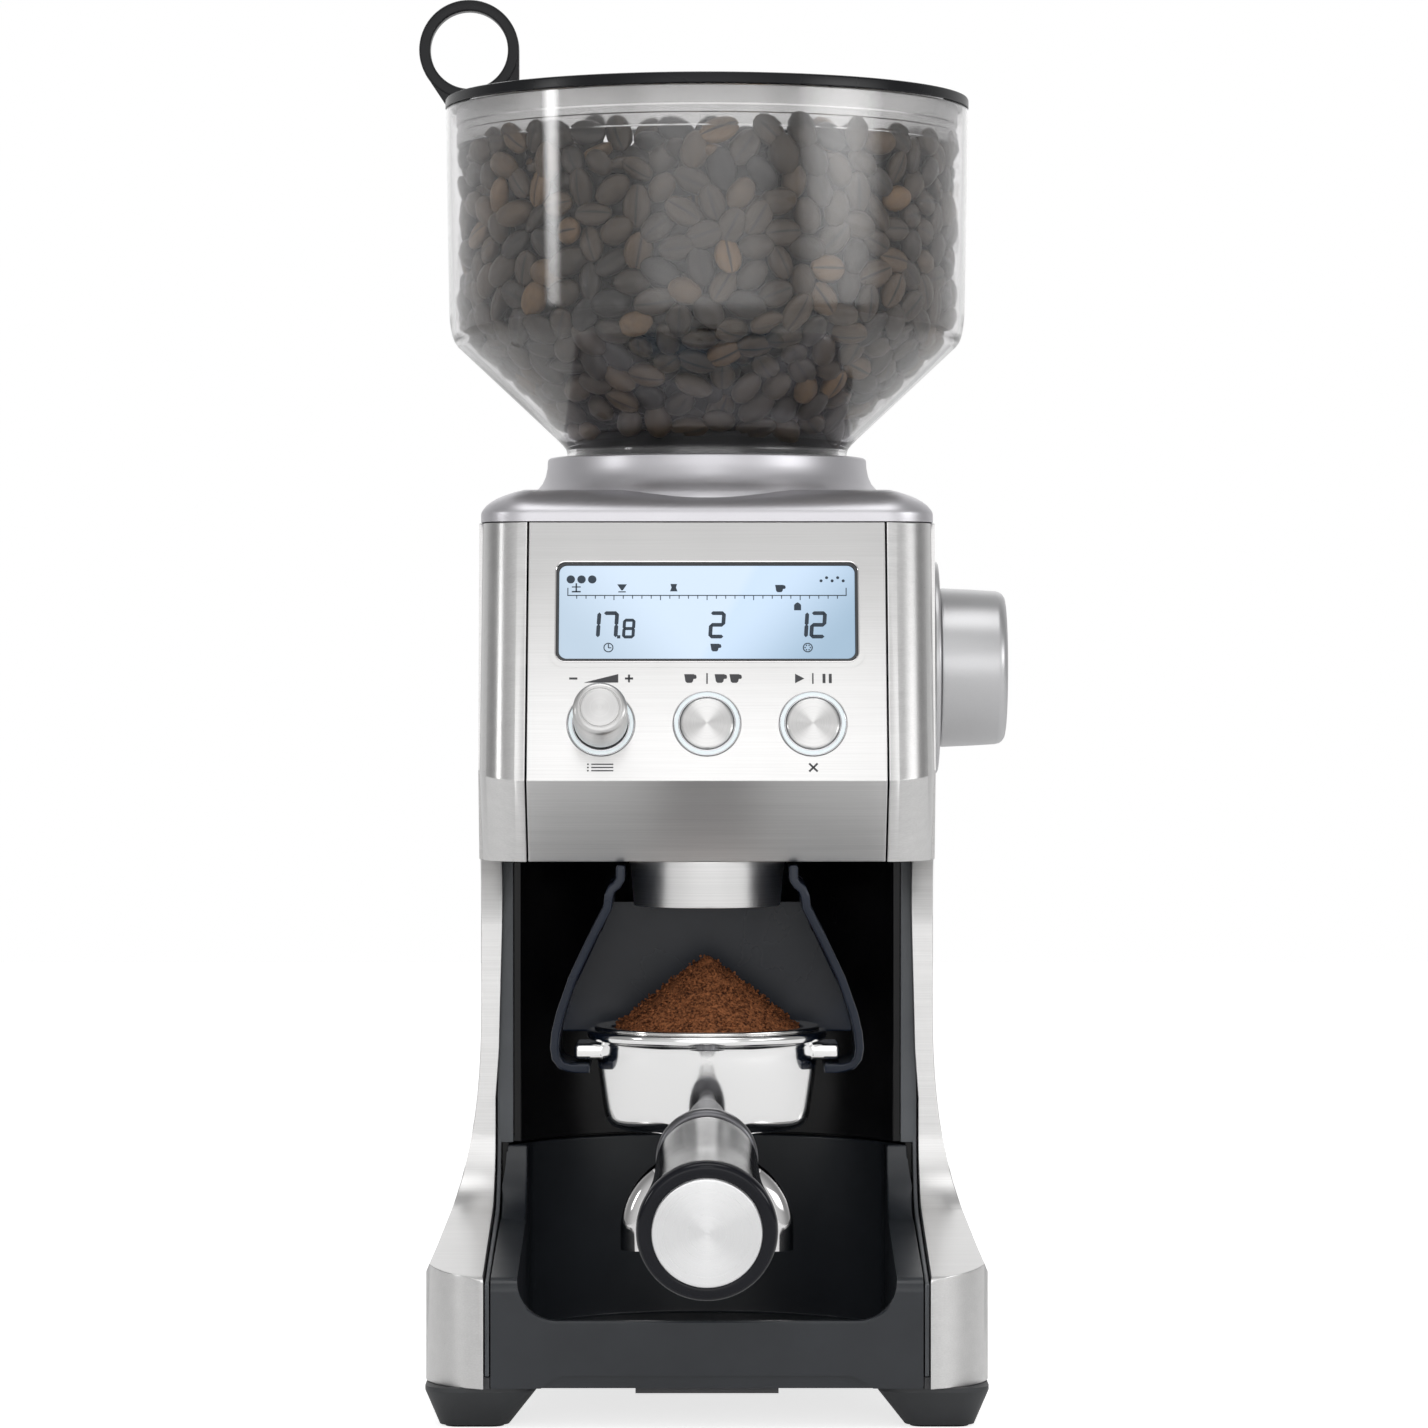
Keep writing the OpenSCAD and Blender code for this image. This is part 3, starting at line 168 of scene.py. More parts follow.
# %% [markdown]
# The stage is a pale floor in a pale room. Brushed steel shows what it mirrors far more than its own colour,
# so the lights are placed for their reflections: a wide low light and a tall high one in front, a narrow and
# a broad strip at the sides that draw the bright bands down the hopper, a soft top light and a weak one
# behind. Each light fades towards its edges, so its reflection has no hard outline. The strength added for
# camera rays makes the floor look white without any more light on the object.

# %% Floor
SEEN_GLOW, MIRRORED_GLOW = 0.75, 0.14
floor_paint = bpy.data.materials.new("pale_floor")
floor_paint.use_nodes = True
tree = floor_paint.node_tree
shader = tree.nodes["Principled BSDF"]
steady(shader, Base_Color=(0.86, 0.86, 0.86, 1), Roughness=0.9, Specular_IOR_Level=0.1)
steady(shader, Emission_Color=(1, 1, 1, 1))
ray = add(tree, "LightPath").outputs
glow = plus(tree, times(tree, ray["Is Camera Ray"], SEEN_GLOW),
            times(tree, ray["Is Glossy Ray"], MIRRORED_GLOW))
tree.links.new(glow, shader.inputs["Emission Strength"])
bm = bmesh.new()
bmesh.ops.create_grid(bm, x_segments=1, y_segments=1, size=2)
mesh = bpy.data.meshes.new("floor")
bm.to_mesh(mesh)
bm.free()
mesh.materials.append(floor_paint)
floor = bpy.data.objects.new("floor", mesh)
bpy.context.scene.collection.objects.link(floor)
print("floor:", len(floor.data.polygons), "face")

# %% Lights
LOOK_AT = Vector((0, 0, 0.2))


def soft_light(name, place, size_x, size_y, watts, evenness=1.6):
    """A rectangular light that fades towards its edges, as light behind a stretched cloth does."""
    data = bpy.data.lights.new(name, "AREA")
    data.shape = "RECTANGLE"
    data.size, data.size_y = size_x, size_y
    data.energy = watts
    data.use_nodes = True
    tree = data.node_tree
    on_light = add(tree, "NewGeometry").outputs["Parametric"]
    sides = add(tree, "SeparateXYZ", i0=on_light).outputs
    fades = []
    for axis in ("X", "Y"):
        wave = maths(tree, "SINE", times(tree, sides[axis], pi))
        fades.append(times(tree, wave, evenness, clamped=True))
    tree.links.new(times(tree, *fades), tree.nodes["Emission"].inputs["Strength"])
    lamp = bpy.data.objects.new(name, data)
    lamp.location = place
    lamp.rotation_euler = (LOOK_AT - Vector(place)).to_track_quat("-Z", "Y").to_euler()
    bpy.context.scene.collection.objects.link(lamp)


soft_light("front_low", (0, -2.2, 0.50), 2.8, 1.1, 10.4)
soft_light("front_high", (0, -1.95, 1.65), 0.62, 1.3, 2.9)
soft_light("strip_left", (-1.25, -0.42, 0.52), 0.22, 0.46, 3.3, 1.0)
soft_light("strip_right", (1.2, -0.66, 0.52), 1.1, 0.46, 7.2, 1.0)
soft_light("top_soft", (0, -0.3, 1.6), 1.4, 1.0, 8)
soft_light("back_soft", (0, 1.7, 0.9), 1.6, 1.2, 3.2)

# %% [markdown]
# The world is the pale room. It looks white to the camera and through clear plastic. In mirrors and on matt
# surfaces it is brightest in front, where a studio's lights are, darkest at the sides, and lit again behind,
# so that the round edges of the steel don't end in black lines.

# %% World
FRONT_GLOW, SIDE_GLOW, BACK_GLOW = 0.62, 0.26, 0.44
world = bpy.data.worlds.new("studio")
bpy.context.scene.world = world
world.use_nodes = True
tree = world.node_tree
backdrop = tree.nodes["Background"]
backdrop.inputs["Color"].default_value = (1, 1, 1, 1)
ray = add(tree, "LightPath").outputs
seen = maths(tree, "MAXIMUM", ray["Is Camera Ray"], ray["Is Transmission Ray"])
direction = add(tree, "TexCoord").outputs["Generated"]
backwards = add(tree, "SeparateXYZ", i0=direction).outputs["Y"]
room = plus(tree, eased(tree, backwards, 0.1, -0.95, SIDE_GLOW, FRONT_GLOW),
            eased(tree, backwards, 0.15, 0.95, 0.0, BACK_GLOW))
brightness = add(tree, "Mix", values={"B": 1.0}, Factor=seen, A=room)
tree.links.new(brightness.outputs["Result"], backdrop.inputs["Strength"])
bpy.context.scene.view_settings.view_transform = "Standard"
print("world:", world.name)

# %% [markdown]
# Most pieces are turned or cut from plate. `finish` makes the object from a bmesh: it merges doubles, points
# the faces outwards, rounds the sharp edges with a narrow bevel, says which body the piece rides on, and
# hides the CAD nodes it stands for. `lathe` spins a few profile points round an axis, `turned` makes a whole
# piece that way, and `plate` raises an outline.

# %% Finishing a piece
BEVEL_ROOM = 2.2
STRAIGHT_ON = -0.6


def edges_to_round(bm, reach, sharp, in_chains):
    """Sharp edges with room for a bevel: those beside them are longer or, in chains, carry the line on."""
    folds = dict.fromkeys(e for e in bm.edges if len(e.link_faces) == 2 and e.calc_face_angle(0) > sharp)
    chosen = []
    for edge in folds:
        beside = [edge]
        for v in edge.verts:
            onward = (edge.other_vert(v).co - v.co).normalized()
            near = [e for e in v.link_edges if e is not edge]
            carried_on = [e for e in near if in_chains and e in folds
                          and (e.other_vert(v).co - v.co).normalized().dot(onward) < STRAIGHT_ON]
            beside += [e for e in near if e not in carried_on]
            if carried_on and edge in beside:
                beside.remove(edge)
        if all(e.calc_length() > reach for e in beside):
            chosen.append(edge)
    return chosen


def finish(name, bm, mat, body, replaces=(), bevel=0.0, segments=2, sharp=32, clean=True, chains=False):
    """Turns a bmesh into a piece of the object. Sizes in the bmesh are metres; bevel is in millimetres."""
    if clean:
        bmesh.ops.remove_doubles(bm, verts=bm.verts, dist=1e-6)
        bmesh.ops.recalc_face_normals(bm, faces=bm.faces)
    if bevel:
        edges = edges_to_round(bm, BEVEL_ROOM * bevel * MM, radians(sharp), chains)
        bmesh.ops.bevel(bm, geom=edges, offset=bevel * MM, segments=segments, profile=0.5,
                        affect="EDGES", material=-1, clamp_overlap=False)
    for face in bm.faces:
        face.smooth = True
    for edge in bm.edges:
        edge.smooth = edge.calc_face_angle(0) < radians(sharp)
    mesh = bpy.data.meshes.new(name)
    bm.to_mesh(mesh)
    bm.free()
    mesh.materials.append(mat)
    piece = bpy.data.objects.new(name, mesh)
    bpy.context.scene.collection.objects.link(piece)
    weighted = piece.modifiers.new("even_shading", "WEIGHTED_NORMAL")
    weighted.keep_sharp = True
    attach(piece, body)
    if replaces:
        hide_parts(*replaces)


print("an edge needs room for", BEVEL_ROOM, "bevels")

# %% Turned and flat shapes
def lathe(bm, profile, place, steps):
    """Spins (radius, height) points in millimetres round the local Z axis of place. Closed profiles end
    where they begin; open ones begin and end on the axis."""
    before = set(bm.verts)
    points = [bm.verts.new((r * MM, 0, z * MM)) for r, z in profile]
    edges = [bm.edges.new(pair) for pair in zip(points, points[1:])]
    if profile[0][0] > 0 and profile[-1][0] > 0:
        edges.append(bm.edges.new((points[-1], points[0])))
    bmesh.ops.spin(bm, geom=points + edges, cent=(0, 0, 0), axis=(0, 0, 1), angle=tau, steps=steps,
                   use_merge=True, use_duplicate=False)
    made = [v for v in bm.verts if v not in before]
    bmesh.ops.transform(bm, matrix=place, verts=made)
    bmesh.ops.remove_doubles(bm, verts=made, dist=1e-6)


def turned(name, profile, place, steps, mat, body, slot, replaces=(), sharp=32):
    """A piece that is one turned profile."""
    bm = bmesh.new()
    lathe(bm, profile, place, steps)
    finish(name, bm, mat, body, replaces, sharp=sharp)


def plate(bm, outline, low, high, place):
    """Raises an outline in millimetres from low to high along the local Z axis of place."""
    points = [bm.verts.new((x * MM, y * MM, low * MM)) for x, y in outline]
    face = bm.faces.new(points)
    raised = bmesh.ops.extrude_face_region(bm, geom=[face])["geom"]
    tops = [v for v in raised if isinstance(v, bmesh.types.BMVert)]
    bmesh.ops.translate(bm, verts=tops, vec=(0, 0, (high - low) * MM))
    bmesh.ops.transform(bm, matrix=place, verts=points + tops)


def rounded(width, height, radius, steps=8):
    """The outline of a rectangle with round corners, about the origin."""
    x, y = width / 2 - radius, height / 2 - radius
    corners = [(x, y), (-x, y), (-x, -y), (x, -y)]
    arcs = [[pi / 2 * (quarter + k / steps) for k in range(steps + 1)] for quarter in range(4)]
    return [(x + radius * cos(a), y + radius * sin(a)) for (x, y), arc in zip(corners, arcs) for a in arc]


print("shapes:", [f.__name__ for f in (lathe, turned, plate, rounded)])

# %% [markdown]
# Metal, plastic and grain share a few effects, each built once as a node group. `brushing` draws fine
# parallel scratches along X, `turning` draws the rings that a lathe leaves, `grain` is the fine pebble of a
# moulded surface, and `handling` is the faint unevenness that use leaves on any gloss. A group only puts out
# masks and heights; the shader that uses them stays in each material.

# %% Shared effects
FLOAT, VECTOR = "NodeSocketFloat", "NodeSocketVector"


def group(name, inputs, outputs):
    tree = bpy.data.node_groups.new(name, "ShaderNodeTree")
    for socket, kind, value in inputs:
        made = tree.interface.new_socket(name=socket, in_out="INPUT", socket_type=kind)
        if value is not None:
            made.default_value = value
    for socket in outputs:
        tree.interface.new_socket(name=socket, in_out="OUTPUT", socket_type="NodeSocketFloat")
    return tree, tree.nodes.new("NodeGroupInput"), tree.nodes.new("NodeGroupOutput")


def scaled(tree, sides, x, y, z):
    """A vector whose three parts are multiplied by numbers of their own."""
    parts = {axis: times(tree, sides[axis], by) for axis, by in zip("XYZ", (x, y, z))}
    return add(tree, "CombineXYZ", **parts).outputs[0]


tree, given, out = group("brushing", [("Vector", VECTOR, None)], ["Tone", "Height"])
sides = add(tree, "SeparateXYZ", i0=given.outputs["Vector"]).outputs
fine = scaled(tree, sides, 30.0, 3500.0, 3500.0)
lines = mottled(tree, fine, 1.0, 2.0)
coarse = scaled(tree, sides, 6.0, 400.0, 400.0)
tone = plus(tree, times(tree, lines, 0.6), times(tree, mottled(tree, coarse, 1.0, 3.0), 0.4))
tree.links.new(tone, out.inputs["Tone"])
tree.links.new(lines, out.inputs["Height"])
BRUSHING = tree

tree, given, out = group("turning", [("Vector", VECTOR, None), ("Pitch", FLOAT, 5000.0)], ["Tone", "Height"])
sides = add(tree, "SeparateXYZ", i0=given.outputs["Vector"]).outputs
squares = [times(tree, sides[axis], sides[axis]) for axis in "XY"]
radius = maths(tree, "SQRT", plus(tree, *squares))
along = add(tree, "CombineXYZ", X=times(tree, radius, given.outputs["Pitch"]),
            Y=times(tree, sides["Z"], given.outputs["Pitch"]))
rings = add(tree, "TexNoise", {"noise_dimensions": "2D"}, {"Scale": 1.0, "Detail": 2.0},
            Vector=along.outputs[0])
for socket in ("Tone", "Height"):
    tree.links.new(rings.outputs["Fac"], out.inputs[socket])
TURNING = tree

tree, given, out = group("grain", [("Vector", VECTOR, None), ("Fineness", FLOAT, 2500.0)], ["Tone", "Height"])
pebble = add(tree, "TexVoronoi", {"feature": "F1"}, Vector=given.outputs["Vector"],
             Scale=given.outputs["Fineness"])
tree.links.new(mottled(tree, given.outputs["Vector"], 60.0, 3.0), out.inputs["Tone"])
tree.links.new(pebble.outputs["Distance"], out.inputs["Height"])
GRAIN = tree

tree, given, out = group("handling", [("Vector", VECTOR, None)], ["Smudge"])
smear = mottled(tree, given.outputs["Vector"], 35.0, 4.0, Distortion=0.6)
tree.links.new(smear, out.inputs["Smudge"])
HANDLING = tree
print("effects:", [g.name for g in bpy.data.node_groups])

# %% [markdown]
# Finishes differ in a few numbers, so a few recipes cover most of them: `brushed_metal`, `turned_metal` and
# `smooth_metal`, `satin_paint` for painted metal, `plastic` for moulded parts and `clear` for see-through
# ones. Brushed metal mirrors sharply along its scratches and softly across them. Cycles does that with
# anisotropy, whose tangent must point across the scratches: straight up on the brushed case, and outwards
# from the axis on a turned face.

# %% Parts of a material
def colour_between(tree, mask, dark, light):
    """Mixes two colours by a mask. Each is a tuple or a socket."""
    mix = add(tree, "Mix", {"data_type": "RGBA"}, Factor=mask)
    for index, colour in ((6, dark), (7, light)):
        if isinstance(colour, tuple):
            mix.inputs[index].default_value = (*colour, 1)
        else:
            tree.links.new(colour, mix.inputs[index])
    return mix.outputs[2]


def remap(tree, value, low, high, from_low=0.3, from_high=0.7):
    ends = {"From Min": from_low, "From Max": from_high, "To Min": low, "To Max": high}
    return add(tree, "MapRange", values=ends, Value=value).outputs["Result"]


def new_material(name, place=None):
    """A material, its tree, its shader, and the object coordinates seen from place."""
    mat = bpy.data.materials.new(name)
    mat.use_nodes = True
    tree = mat.node_tree
    where = add(tree, "TexCoord").outputs["Object"]
    if place is not None:
        turn = place.inverted()
        ends = {"Rotation": turn.to_euler(), "Location": turn.to_translation()}
        where = add(tree, "Mapping", {"vector_type": "POINT"}, ends, Vector=where).outputs[0]
    return mat, tree, tree.nodes["Principled BSDF"], where


def use(tree, effect, where, **values):
    return add(tree, "Group", {"node_tree": effect}, values, Vector=where).outputs


def handled(tree, shader, where, rough, more):
    """Makes the gloss uneven from handling, between rough and more than rough, and returns the mask."""
    smudge = use(tree, HANDLING, where)[0]
    tree.links.new(remap(tree, smudge, rough, rough + more), shader.inputs["Roughness"])
    return smudge


def tint(tree, shader, mask, dark, light, socket="Base Color"):
    tree.links.new(colour_between(tree, mask, dark, light), shader.inputs[socket])


def bump(tree, shader, height, strength, distance):
    made = add(tree, "Bump", values={"Strength": strength, "Distance": distance}, Height=height)
    tree.links.new(made.outputs[0], shader.inputs["Normal"])


print("parts of a material:", [f.__name__ for f in (colour_between, remap, use, handled, tint, bump)])

# %% Recipes for metal
GRAIN_DEPTH = 0.03


def brushed_metal(name, dark, light, rough, painted_shade=None):
    """Steel with level scratches, darkened with height as painted shade if given: (from, to, share of its
    colour left).
    """
    mat, tree, shader, where = new_material(name)
    marks = use(tree, BRUSHING, where)
    colour = colour_between(tree, remap(tree, marks["Tone"], 0, 1), dark, light)
    # Painted shade: the colour is scaled down with height, standing in for the dimmer reflection higher up.
    if painted_shade:
        start, end, share = painted_shade
        height = add(tree, "SeparateXYZ", i0=where).outputs["Z"]
        fade = eased(tree, height, start, end, 1.0, share)
        colour = add(tree, "VectorMath", {"operation": "SCALE"}, i0=colour, Scale=fade).outputs[0]
    tree.links.new(colour, shader.inputs["Base Color"])
    scratched = remap(tree, marks["Tone"], rough - GRAIN_DEPTH, rough + GRAIN_DEPTH)
    smudged = remap(tree, use(tree, HANDLING, where)[0], 0.0, 0.03)
    tree.links.new(plus(tree, scratched, smudged), shader.inputs["Roughness"])
    steady(shader, Metallic=1, Anisotropic=0.65)
    upwards = add(tree, "CombineXYZ", values={"Z": 1.0, "Y": 0.05})
    tree.links.new(upwards.outputs[0], shader.inputs["Tangent"])
    bump(tree, shader, marks["Height"], 0.12, 0.00005)
    return mat


def turned_metal(name, place, dark, light, rough, spread, pitch=5000.0):
    """Metal with the rings of a lathe round the Z axis of place."""
    mat, tree, shader, where = new_material(name, place)
    marks = use(tree, TURNING, where, Pitch=pitch)
    tint(tree, shader, remap(tree, marks["Tone"], 0, 1), dark, light)
    scratched = remap(tree, marks["Tone"], rough - GRAIN_DEPTH, rough + GRAIN_DEPTH)
    tree.links.new(scratched, shader.inputs["Roughness"])
    steady(shader, Metallic=1, Anisotropic=spread)
    flat = add(tree, "VectorMath", {"operation": "MULTIPLY"}, {1: (1, 1, 0.02)}, i0=where)
    outwards = add(tree, "VectorRotate", {"rotation_type": "EULER_XYZ"},
                   {"Rotation": place.to_euler()}, i0=flat.outputs[0])
    to_world = {"vector_type": "VECTOR", "convert_from": "OBJECT", "convert_to": "WORLD"}
    world_way = add(tree, "VectorTransform", to_world, i0=outwards.outputs[0])
    tree.links.new(world_way.outputs[0], shader.inputs["Tangent"])
    bump(tree, shader, marks["Height"], 0.1, 0.00004)
    return mat


def smooth_metal(name, colour, rough, smudging=0.04):
    mat, tree, shader, where = new_material(name)
    smudge = handled(tree, shader, where, rough, smudging)
    tint(tree, shader, smudge, colour, tuple(min(1, c * 1.05) for c in colour))
    steady(shader, Metallic=1)
    return mat


def satin_paint(name, colour, rough):
    """Metallic paint: fine bright flakes under a satin lacquer."""
    mat, tree, shader, where = new_material(name)
    height = use(tree, GRAIN, where, Fineness=6000.0)["Height"]
    tint(tree, shader, remap(tree, height, 0, 1, 0.0, 0.6), tuple(c + 0.04 for c in colour), colour)
    handled(tree, shader, where, rough, 0.05)
    steady(shader, Metallic=0.85)
    bump(tree, shader, height, 0.06, 0.00003)
    return mat


print("metals: brushed, turned, smooth and painted")

# %% Recipes for plastic
def plastic(name, colour, rough, relief=0.15, shine=0.5):
    mat, tree, shader, where = new_material(name)
    texture = use(tree, GRAIN, where)
    tint(tree, shader, remap(tree, texture["Tone"], 0, 1), colour, tuple(c * 1.25 + 0.002 for c in colour))
    handled(tree, shader, where, rough, 0.08)
    steady(shader, Specular_IOR_Level=shine)
    bump(tree, shader, texture["Height"], relief, 0.00008)
    return mat


def clear(name, colour, rough, ior=1.49):
    mat, tree, shader, where = new_material(name)
    smudge = handled(tree, shader, where, rough, 0.02)
    tint(tree, shader, smudge, tuple(c * 0.97 for c in colour), colour)
    steady(shader, Transmission_Weight=1, IOR=ior)
    return mat


print("plastics: moulded and clear")

# %% Finishes
case_steel = brushed_metal("case_steel", (0.68, 0.675, 0.67), (0.78, 0.775, 0.77), 0.30)
# The panel's steel is a paler copy of the case steel that darkens towards its top: painted light low on the
# panel, painted shade above.
panel_steel_painted_shading = brushed_metal("panel_steel_painted_shading", (0.74, 0.735, 0.73), (0.84, 0.835, 0.83), 0.30,
                            painted_shade=(0.178, 0.240, 0.62))
cap_silver = satin_paint("cap_silver", (0.66, 0.65, 0.68), 0.36)
dial_silver = satin_paint("dial_silver", (0.60, 0.60, 0.61), 0.33)
collar_steel = turned_metal("collar_steel", HOLDER, (0.78, 0.775, 0.77), (0.88, 0.875, 0.87), 0.38, 0.1)
chrome = smooth_metal("polished_chrome", (0.80, 0.79, 0.79), 0.04)
plated = smooth_metal("plated_steel", (0.66, 0.66, 0.68), 0.22)
rear_plastic = plastic("rear_plastic", (0.055, 0.056, 0.060), 0.42)
foot_plastic = plastic("foot_plastic", (0.030, 0.032, 0.035), 0.40)
pad_rubber = plastic("pad_rubber", (0.015, 0.015, 0.016), 0.75)
liner_plastic = plastic("liner_plastic", (0.0025, 0.0025, 0.0035), 0.20, relief=0.02, shine=0.3)
trim_plastic = plastic("trim_plastic", (0.100, 0.108, 0.118), 0.36)
tray_plastic = plastic("tray_plastic", (0.018, 0.021, 0.026), 0.28, relief=0.06)
cradle_plastic = plastic("cradle_plastic", (0.007, 0.012, 0.025), 0.22, relief=0.03, shine=0.45)
frame_plastic = plastic("display_frame_plastic", (0.03, 0.033, 0.037), 0.2, relief=0.02)
grip_plastic = plastic("grip_plastic", (0.0050, 0.0055, 0.009), 0.10, relief=0.01, shine=0.25)
lid_plastic = plastic("lid_plastic", (0.007, 0.0075, 0.009), 0.24, relief=0.04, shine=0.25)
neck_plastic = plastic("neck_plastic", (0.004, 0.004, 0.005), 0.3, shine=0.2)
print_ink = plastic("print_ink", (0.055, 0.055, 0.06), 0.5)
smoky_clear = clear("smoky_clear", (0.86, 0.855, 0.86), 0.015)
seal_clear = clear("seal_clear", (0.86, 0.86, 0.85), 0.25, ior=1.35)
print("finishes:", len(bpy.data.materials))

# %% [markdown]
# Brushed sheet steel makes up the case: two side panels that fold round the front edges and flare into the
# base, and the tilted front panel between them. Their CAD shapes are right, so a merged copy is taken, the
# folds are shaded smooth, and a narrow bevel on every cut edge catches the light as a deburred edge does.

# %% Copies that keep the CAD shape
def smooth_copy(node, name, mat, body, bevel=0.3, segments=2, sharp=32, chains=False):
    """A smooth-shaded copy of a CAD node: points merged, flat faces made whole, sharp edges eased."""
    bm = bmesh.new()
    bm.from_mesh(nodes[node].data)
    bmesh.ops.remove_doubles(bm, verts=bm.verts, dist=2e-6)
    bmesh.ops.dissolve_limit(bm, angle_limit=radians(0.4), verts=bm.verts, edges=bm.edges)
    finish(name, bm, mat, body, (node,), bevel, segments, sharp, chains=chains)


smooth_copy("left_side_panel", "left_panel", case_steel, "housing")
smooth_copy("right_side_panel", "right_panel", case_steel, "housing")
smooth_copy("front_panel", "control_panel", panel_steel_painted_shading, "housing", 0.25)

# %% [markdown]
# The dark mouldings follow: the back cover with its vents, the black wall behind the filter holder, the grey
# strips between wall and steel, the tray and the feet. Moulded plastic never has a knife edge, so each gets
# a rounding of its own size: small on thin strips, large on the tray and the feet.

# %% Mouldings
smooth_copy("rear_cover", "back_cover", rear_plastic, "housing", 0.25)
smooth_copy("recess_liner", "bay_wall", liner_plastic, "housing", 0.3)
smooth_copy("recess_trims", "bay_trims", trim_plastic, "housing", 0.25)
smooth_copy("drip_tray", "tray", tray_plastic, "drip_tray", 0.6, 3)
smooth_copy("feet", "feet_shell", foot_plastic, "housing", 0.8, 3)
smooth_copy("cradle", "cradle_frame", cradle_plastic, "cradle", 0.7, 3, 40, True)
smooth_copy("start_paddle", "paddle", cradle_plastic, "start_paddle", 0.5)
smooth_copy("cord_gland", "cord_bush", pad_rubber, "housing", 0.3)

# %% [markdown]
# The top cap is one satin-painted piece: a soft shoulder all round, and a collar for the hopper that flares
# where it meets the shoulder. `loft` extrudes one closed loop of points to the next. The shoulder is the same
# plan outline drawn in a little further at each level, so its round corners stay round; the collar is turned
# on the lathe and sinks into it.

# %% Top cap
CAP_Z = 239.7


def loft(bm, loops, place):
    """Extrudes a closed loop of points in millimetres to the next, and the last one to the first."""
    spot = bm.verts.layers.int.new("spot")
    points = [bm.verts.new(place @ (Vector(p) * MM)) for p in loops[0]]
    for k, v in enumerate(points):
        v[spot] = k
    rim = [bm.edges.new((points[k - 1], points[k])) for k in range(len(points))]
    for loop in loops[1:] + loops[:1]:
        made = bmesh.ops.extrude_edge_only(bm, edges=rim)["geom"]
        rim = [e for e in made if isinstance(e, bmesh.types.BMEdge)]
        for v in made:
            if isinstance(v, bmesh.types.BMVert):
                v.co = place @ (Vector(loop[v[spot]]) * MM)
    bm.verts.layers.int.remove(spot)


def cap_edge():
    """Points round the plan of the cap, each with the direction that points outwards there."""
    corners = [(48, -41, 14, -90, 24), (45.4, 103, 18, 0, 16),
               (-45.4, 103, 18, 90, 24), (-48, -41, 14, 180, 16)]
    spots = []
    for index, (x, y, r, first, between) in enumerate(corners):
        for k in range(13):
            turn = radians(first + 90 * k / 12)
            spots.append((Vector((x + r * cos(turn), y + r * sin(turn))), Vector((cos(turn), sin(turn)))))
        following = corners[(index + 1) % 4]
        way = radians(first + 90)
        outwards = Vector((cos(way), sin(way)))
        here = spots[-1][0]
        there = Vector(following[:2]) + following[2] * outwards
        spots += [(here.lerp(there, k / between), outwards) for k in range(1, between)]
    return spots


edge_spots = cap_edge()


def drawn_in(inset, height):
    return [((p - n * inset).x, (p - n * inset).y, CAP_Z + height) for p, n in edge_spots]


def bore(radius, height):
    angles = [atan2(p.y, p.x) for p, n in edge_spots]
    return [(radius * cos(a), radius * sin(a), CAP_Z + height) for a in angles]


bm = bmesh.new()
shoulder = [(0, 0.3), (0, 2.4), (0.12, 3.0), (0.5, 3.7), (1.4, 4.8), (2.8, 5.9), (4.6, 6.9), (6.8, 7.8),
            (9.2, 8.6), (11.8, 9.2)]
loft(bm, [drawn_in(*level) for level in shoulder] + [bore(41.6, 9.4), bore(41.6, 0.3)], BURR)
collar = [(40.2, 3), (50.6, 4.6), (50.4, 7.0), (49.4, 8.9), (47.8, 10.4), (46.4, 12.0), (45.5, 14.0),
          (45.0, 16.4), (44.9, 18.2), (44.75, 18.8), (44.3, 19.2), (43.6, 19.3), (41.0, 19.3), (40.4, 19.1),
          (40.2, 18.6)]
lathe(bm, collar, BURR @ shift(0, 0, CAP_Z), 128)
finish("cap", bm, cap_silver, "housing", ("top_cap",))
print("cap levels:", len(shoulder))

# %% [markdown]
# The display is a lit liquid-crystal panel behind a clear window, held by a narrow bright bezel. The screen
# glows most in the middle of its upper edge, and its left part is a little paler: a painted reflection of
# a soft light in the cover glass. The segments and the scale are thin dark plates a hair's breadth above it.
# The figures are plain seven-segment numbers and the words are left out in favour of small pictures.

# %% Flat shapes on the panel
FILM = 0.05


def bar(bm, x0, y0, x1, y1, height, place=PANEL):
    plate(bm, [(x0, y0), (x1, y0), (x1, y1), (x0, y1)], height, height + FILM, place)


def disc(bm, x, y, radius, height, steps):
    turns = [tau * k / steps for k in range(steps)]
    plate(bm, [(x + radius * cos(a), y + radius * sin(a)) for a in turns], height, height + FILM, PANEL)


def hoop(bm, x, y, radius, line, height):
    top = height + FILM
    profile = [(radius - line, height), (radius, height), (radius, top), (radius - line, top)]
    lathe(bm, profile, PANEL @ shift(x, y, 0), 28)


def shape(bm, points, x, y, height, scale=1.0):
    plate(bm, [(x + scale * px, y + scale * py) for px, py in points], height, height + FILM, PANEL)


SEGMENTS = {"1": "bc", "2": "abged", "7": "abc", "8": "abcdefg"}


def figure(bm, digit, x, y, width, tall, line, height):
    """A seven-segment figure whose lower left corner is (x, y), leaning a little to the right."""
    half = tall / 2
    t = line / 2
    gap = -0.38 * t

    def lean(points):
        return [(px + 0.06 * (py - y), py) for px, py in points]

    def across(cy):
        low, high = x + gap + t, x + width - gap - t
        return [(low, cy), (low + t, cy - t), (high - t, cy - t),
                (high, cy), (high - t, cy + t), (low + t, cy + t)]

    def upright(cx, low, high):
        low, high = low + gap + t, high - gap - t
        return [(cx, low), (cx + t, low + t), (cx + t, high - t),
                (cx, high), (cx - t, high - t), (cx - t, low + t)]

    left, right = x + t, x + width - t
    parts = {"a": across(y + tall - t), "g": across(y + half), "d": across(y + t),
             "f": upright(left, y + half - t, y + tall), "b": upright(right, y + half - t, y + tall),
             "e": upright(left, y, y + half + t), "c": upright(right, y, y + half + t)}
    for name in SEGMENTS[digit]:
        plate(bm, lean(parts[name]), height, height + FILM, PANEL)


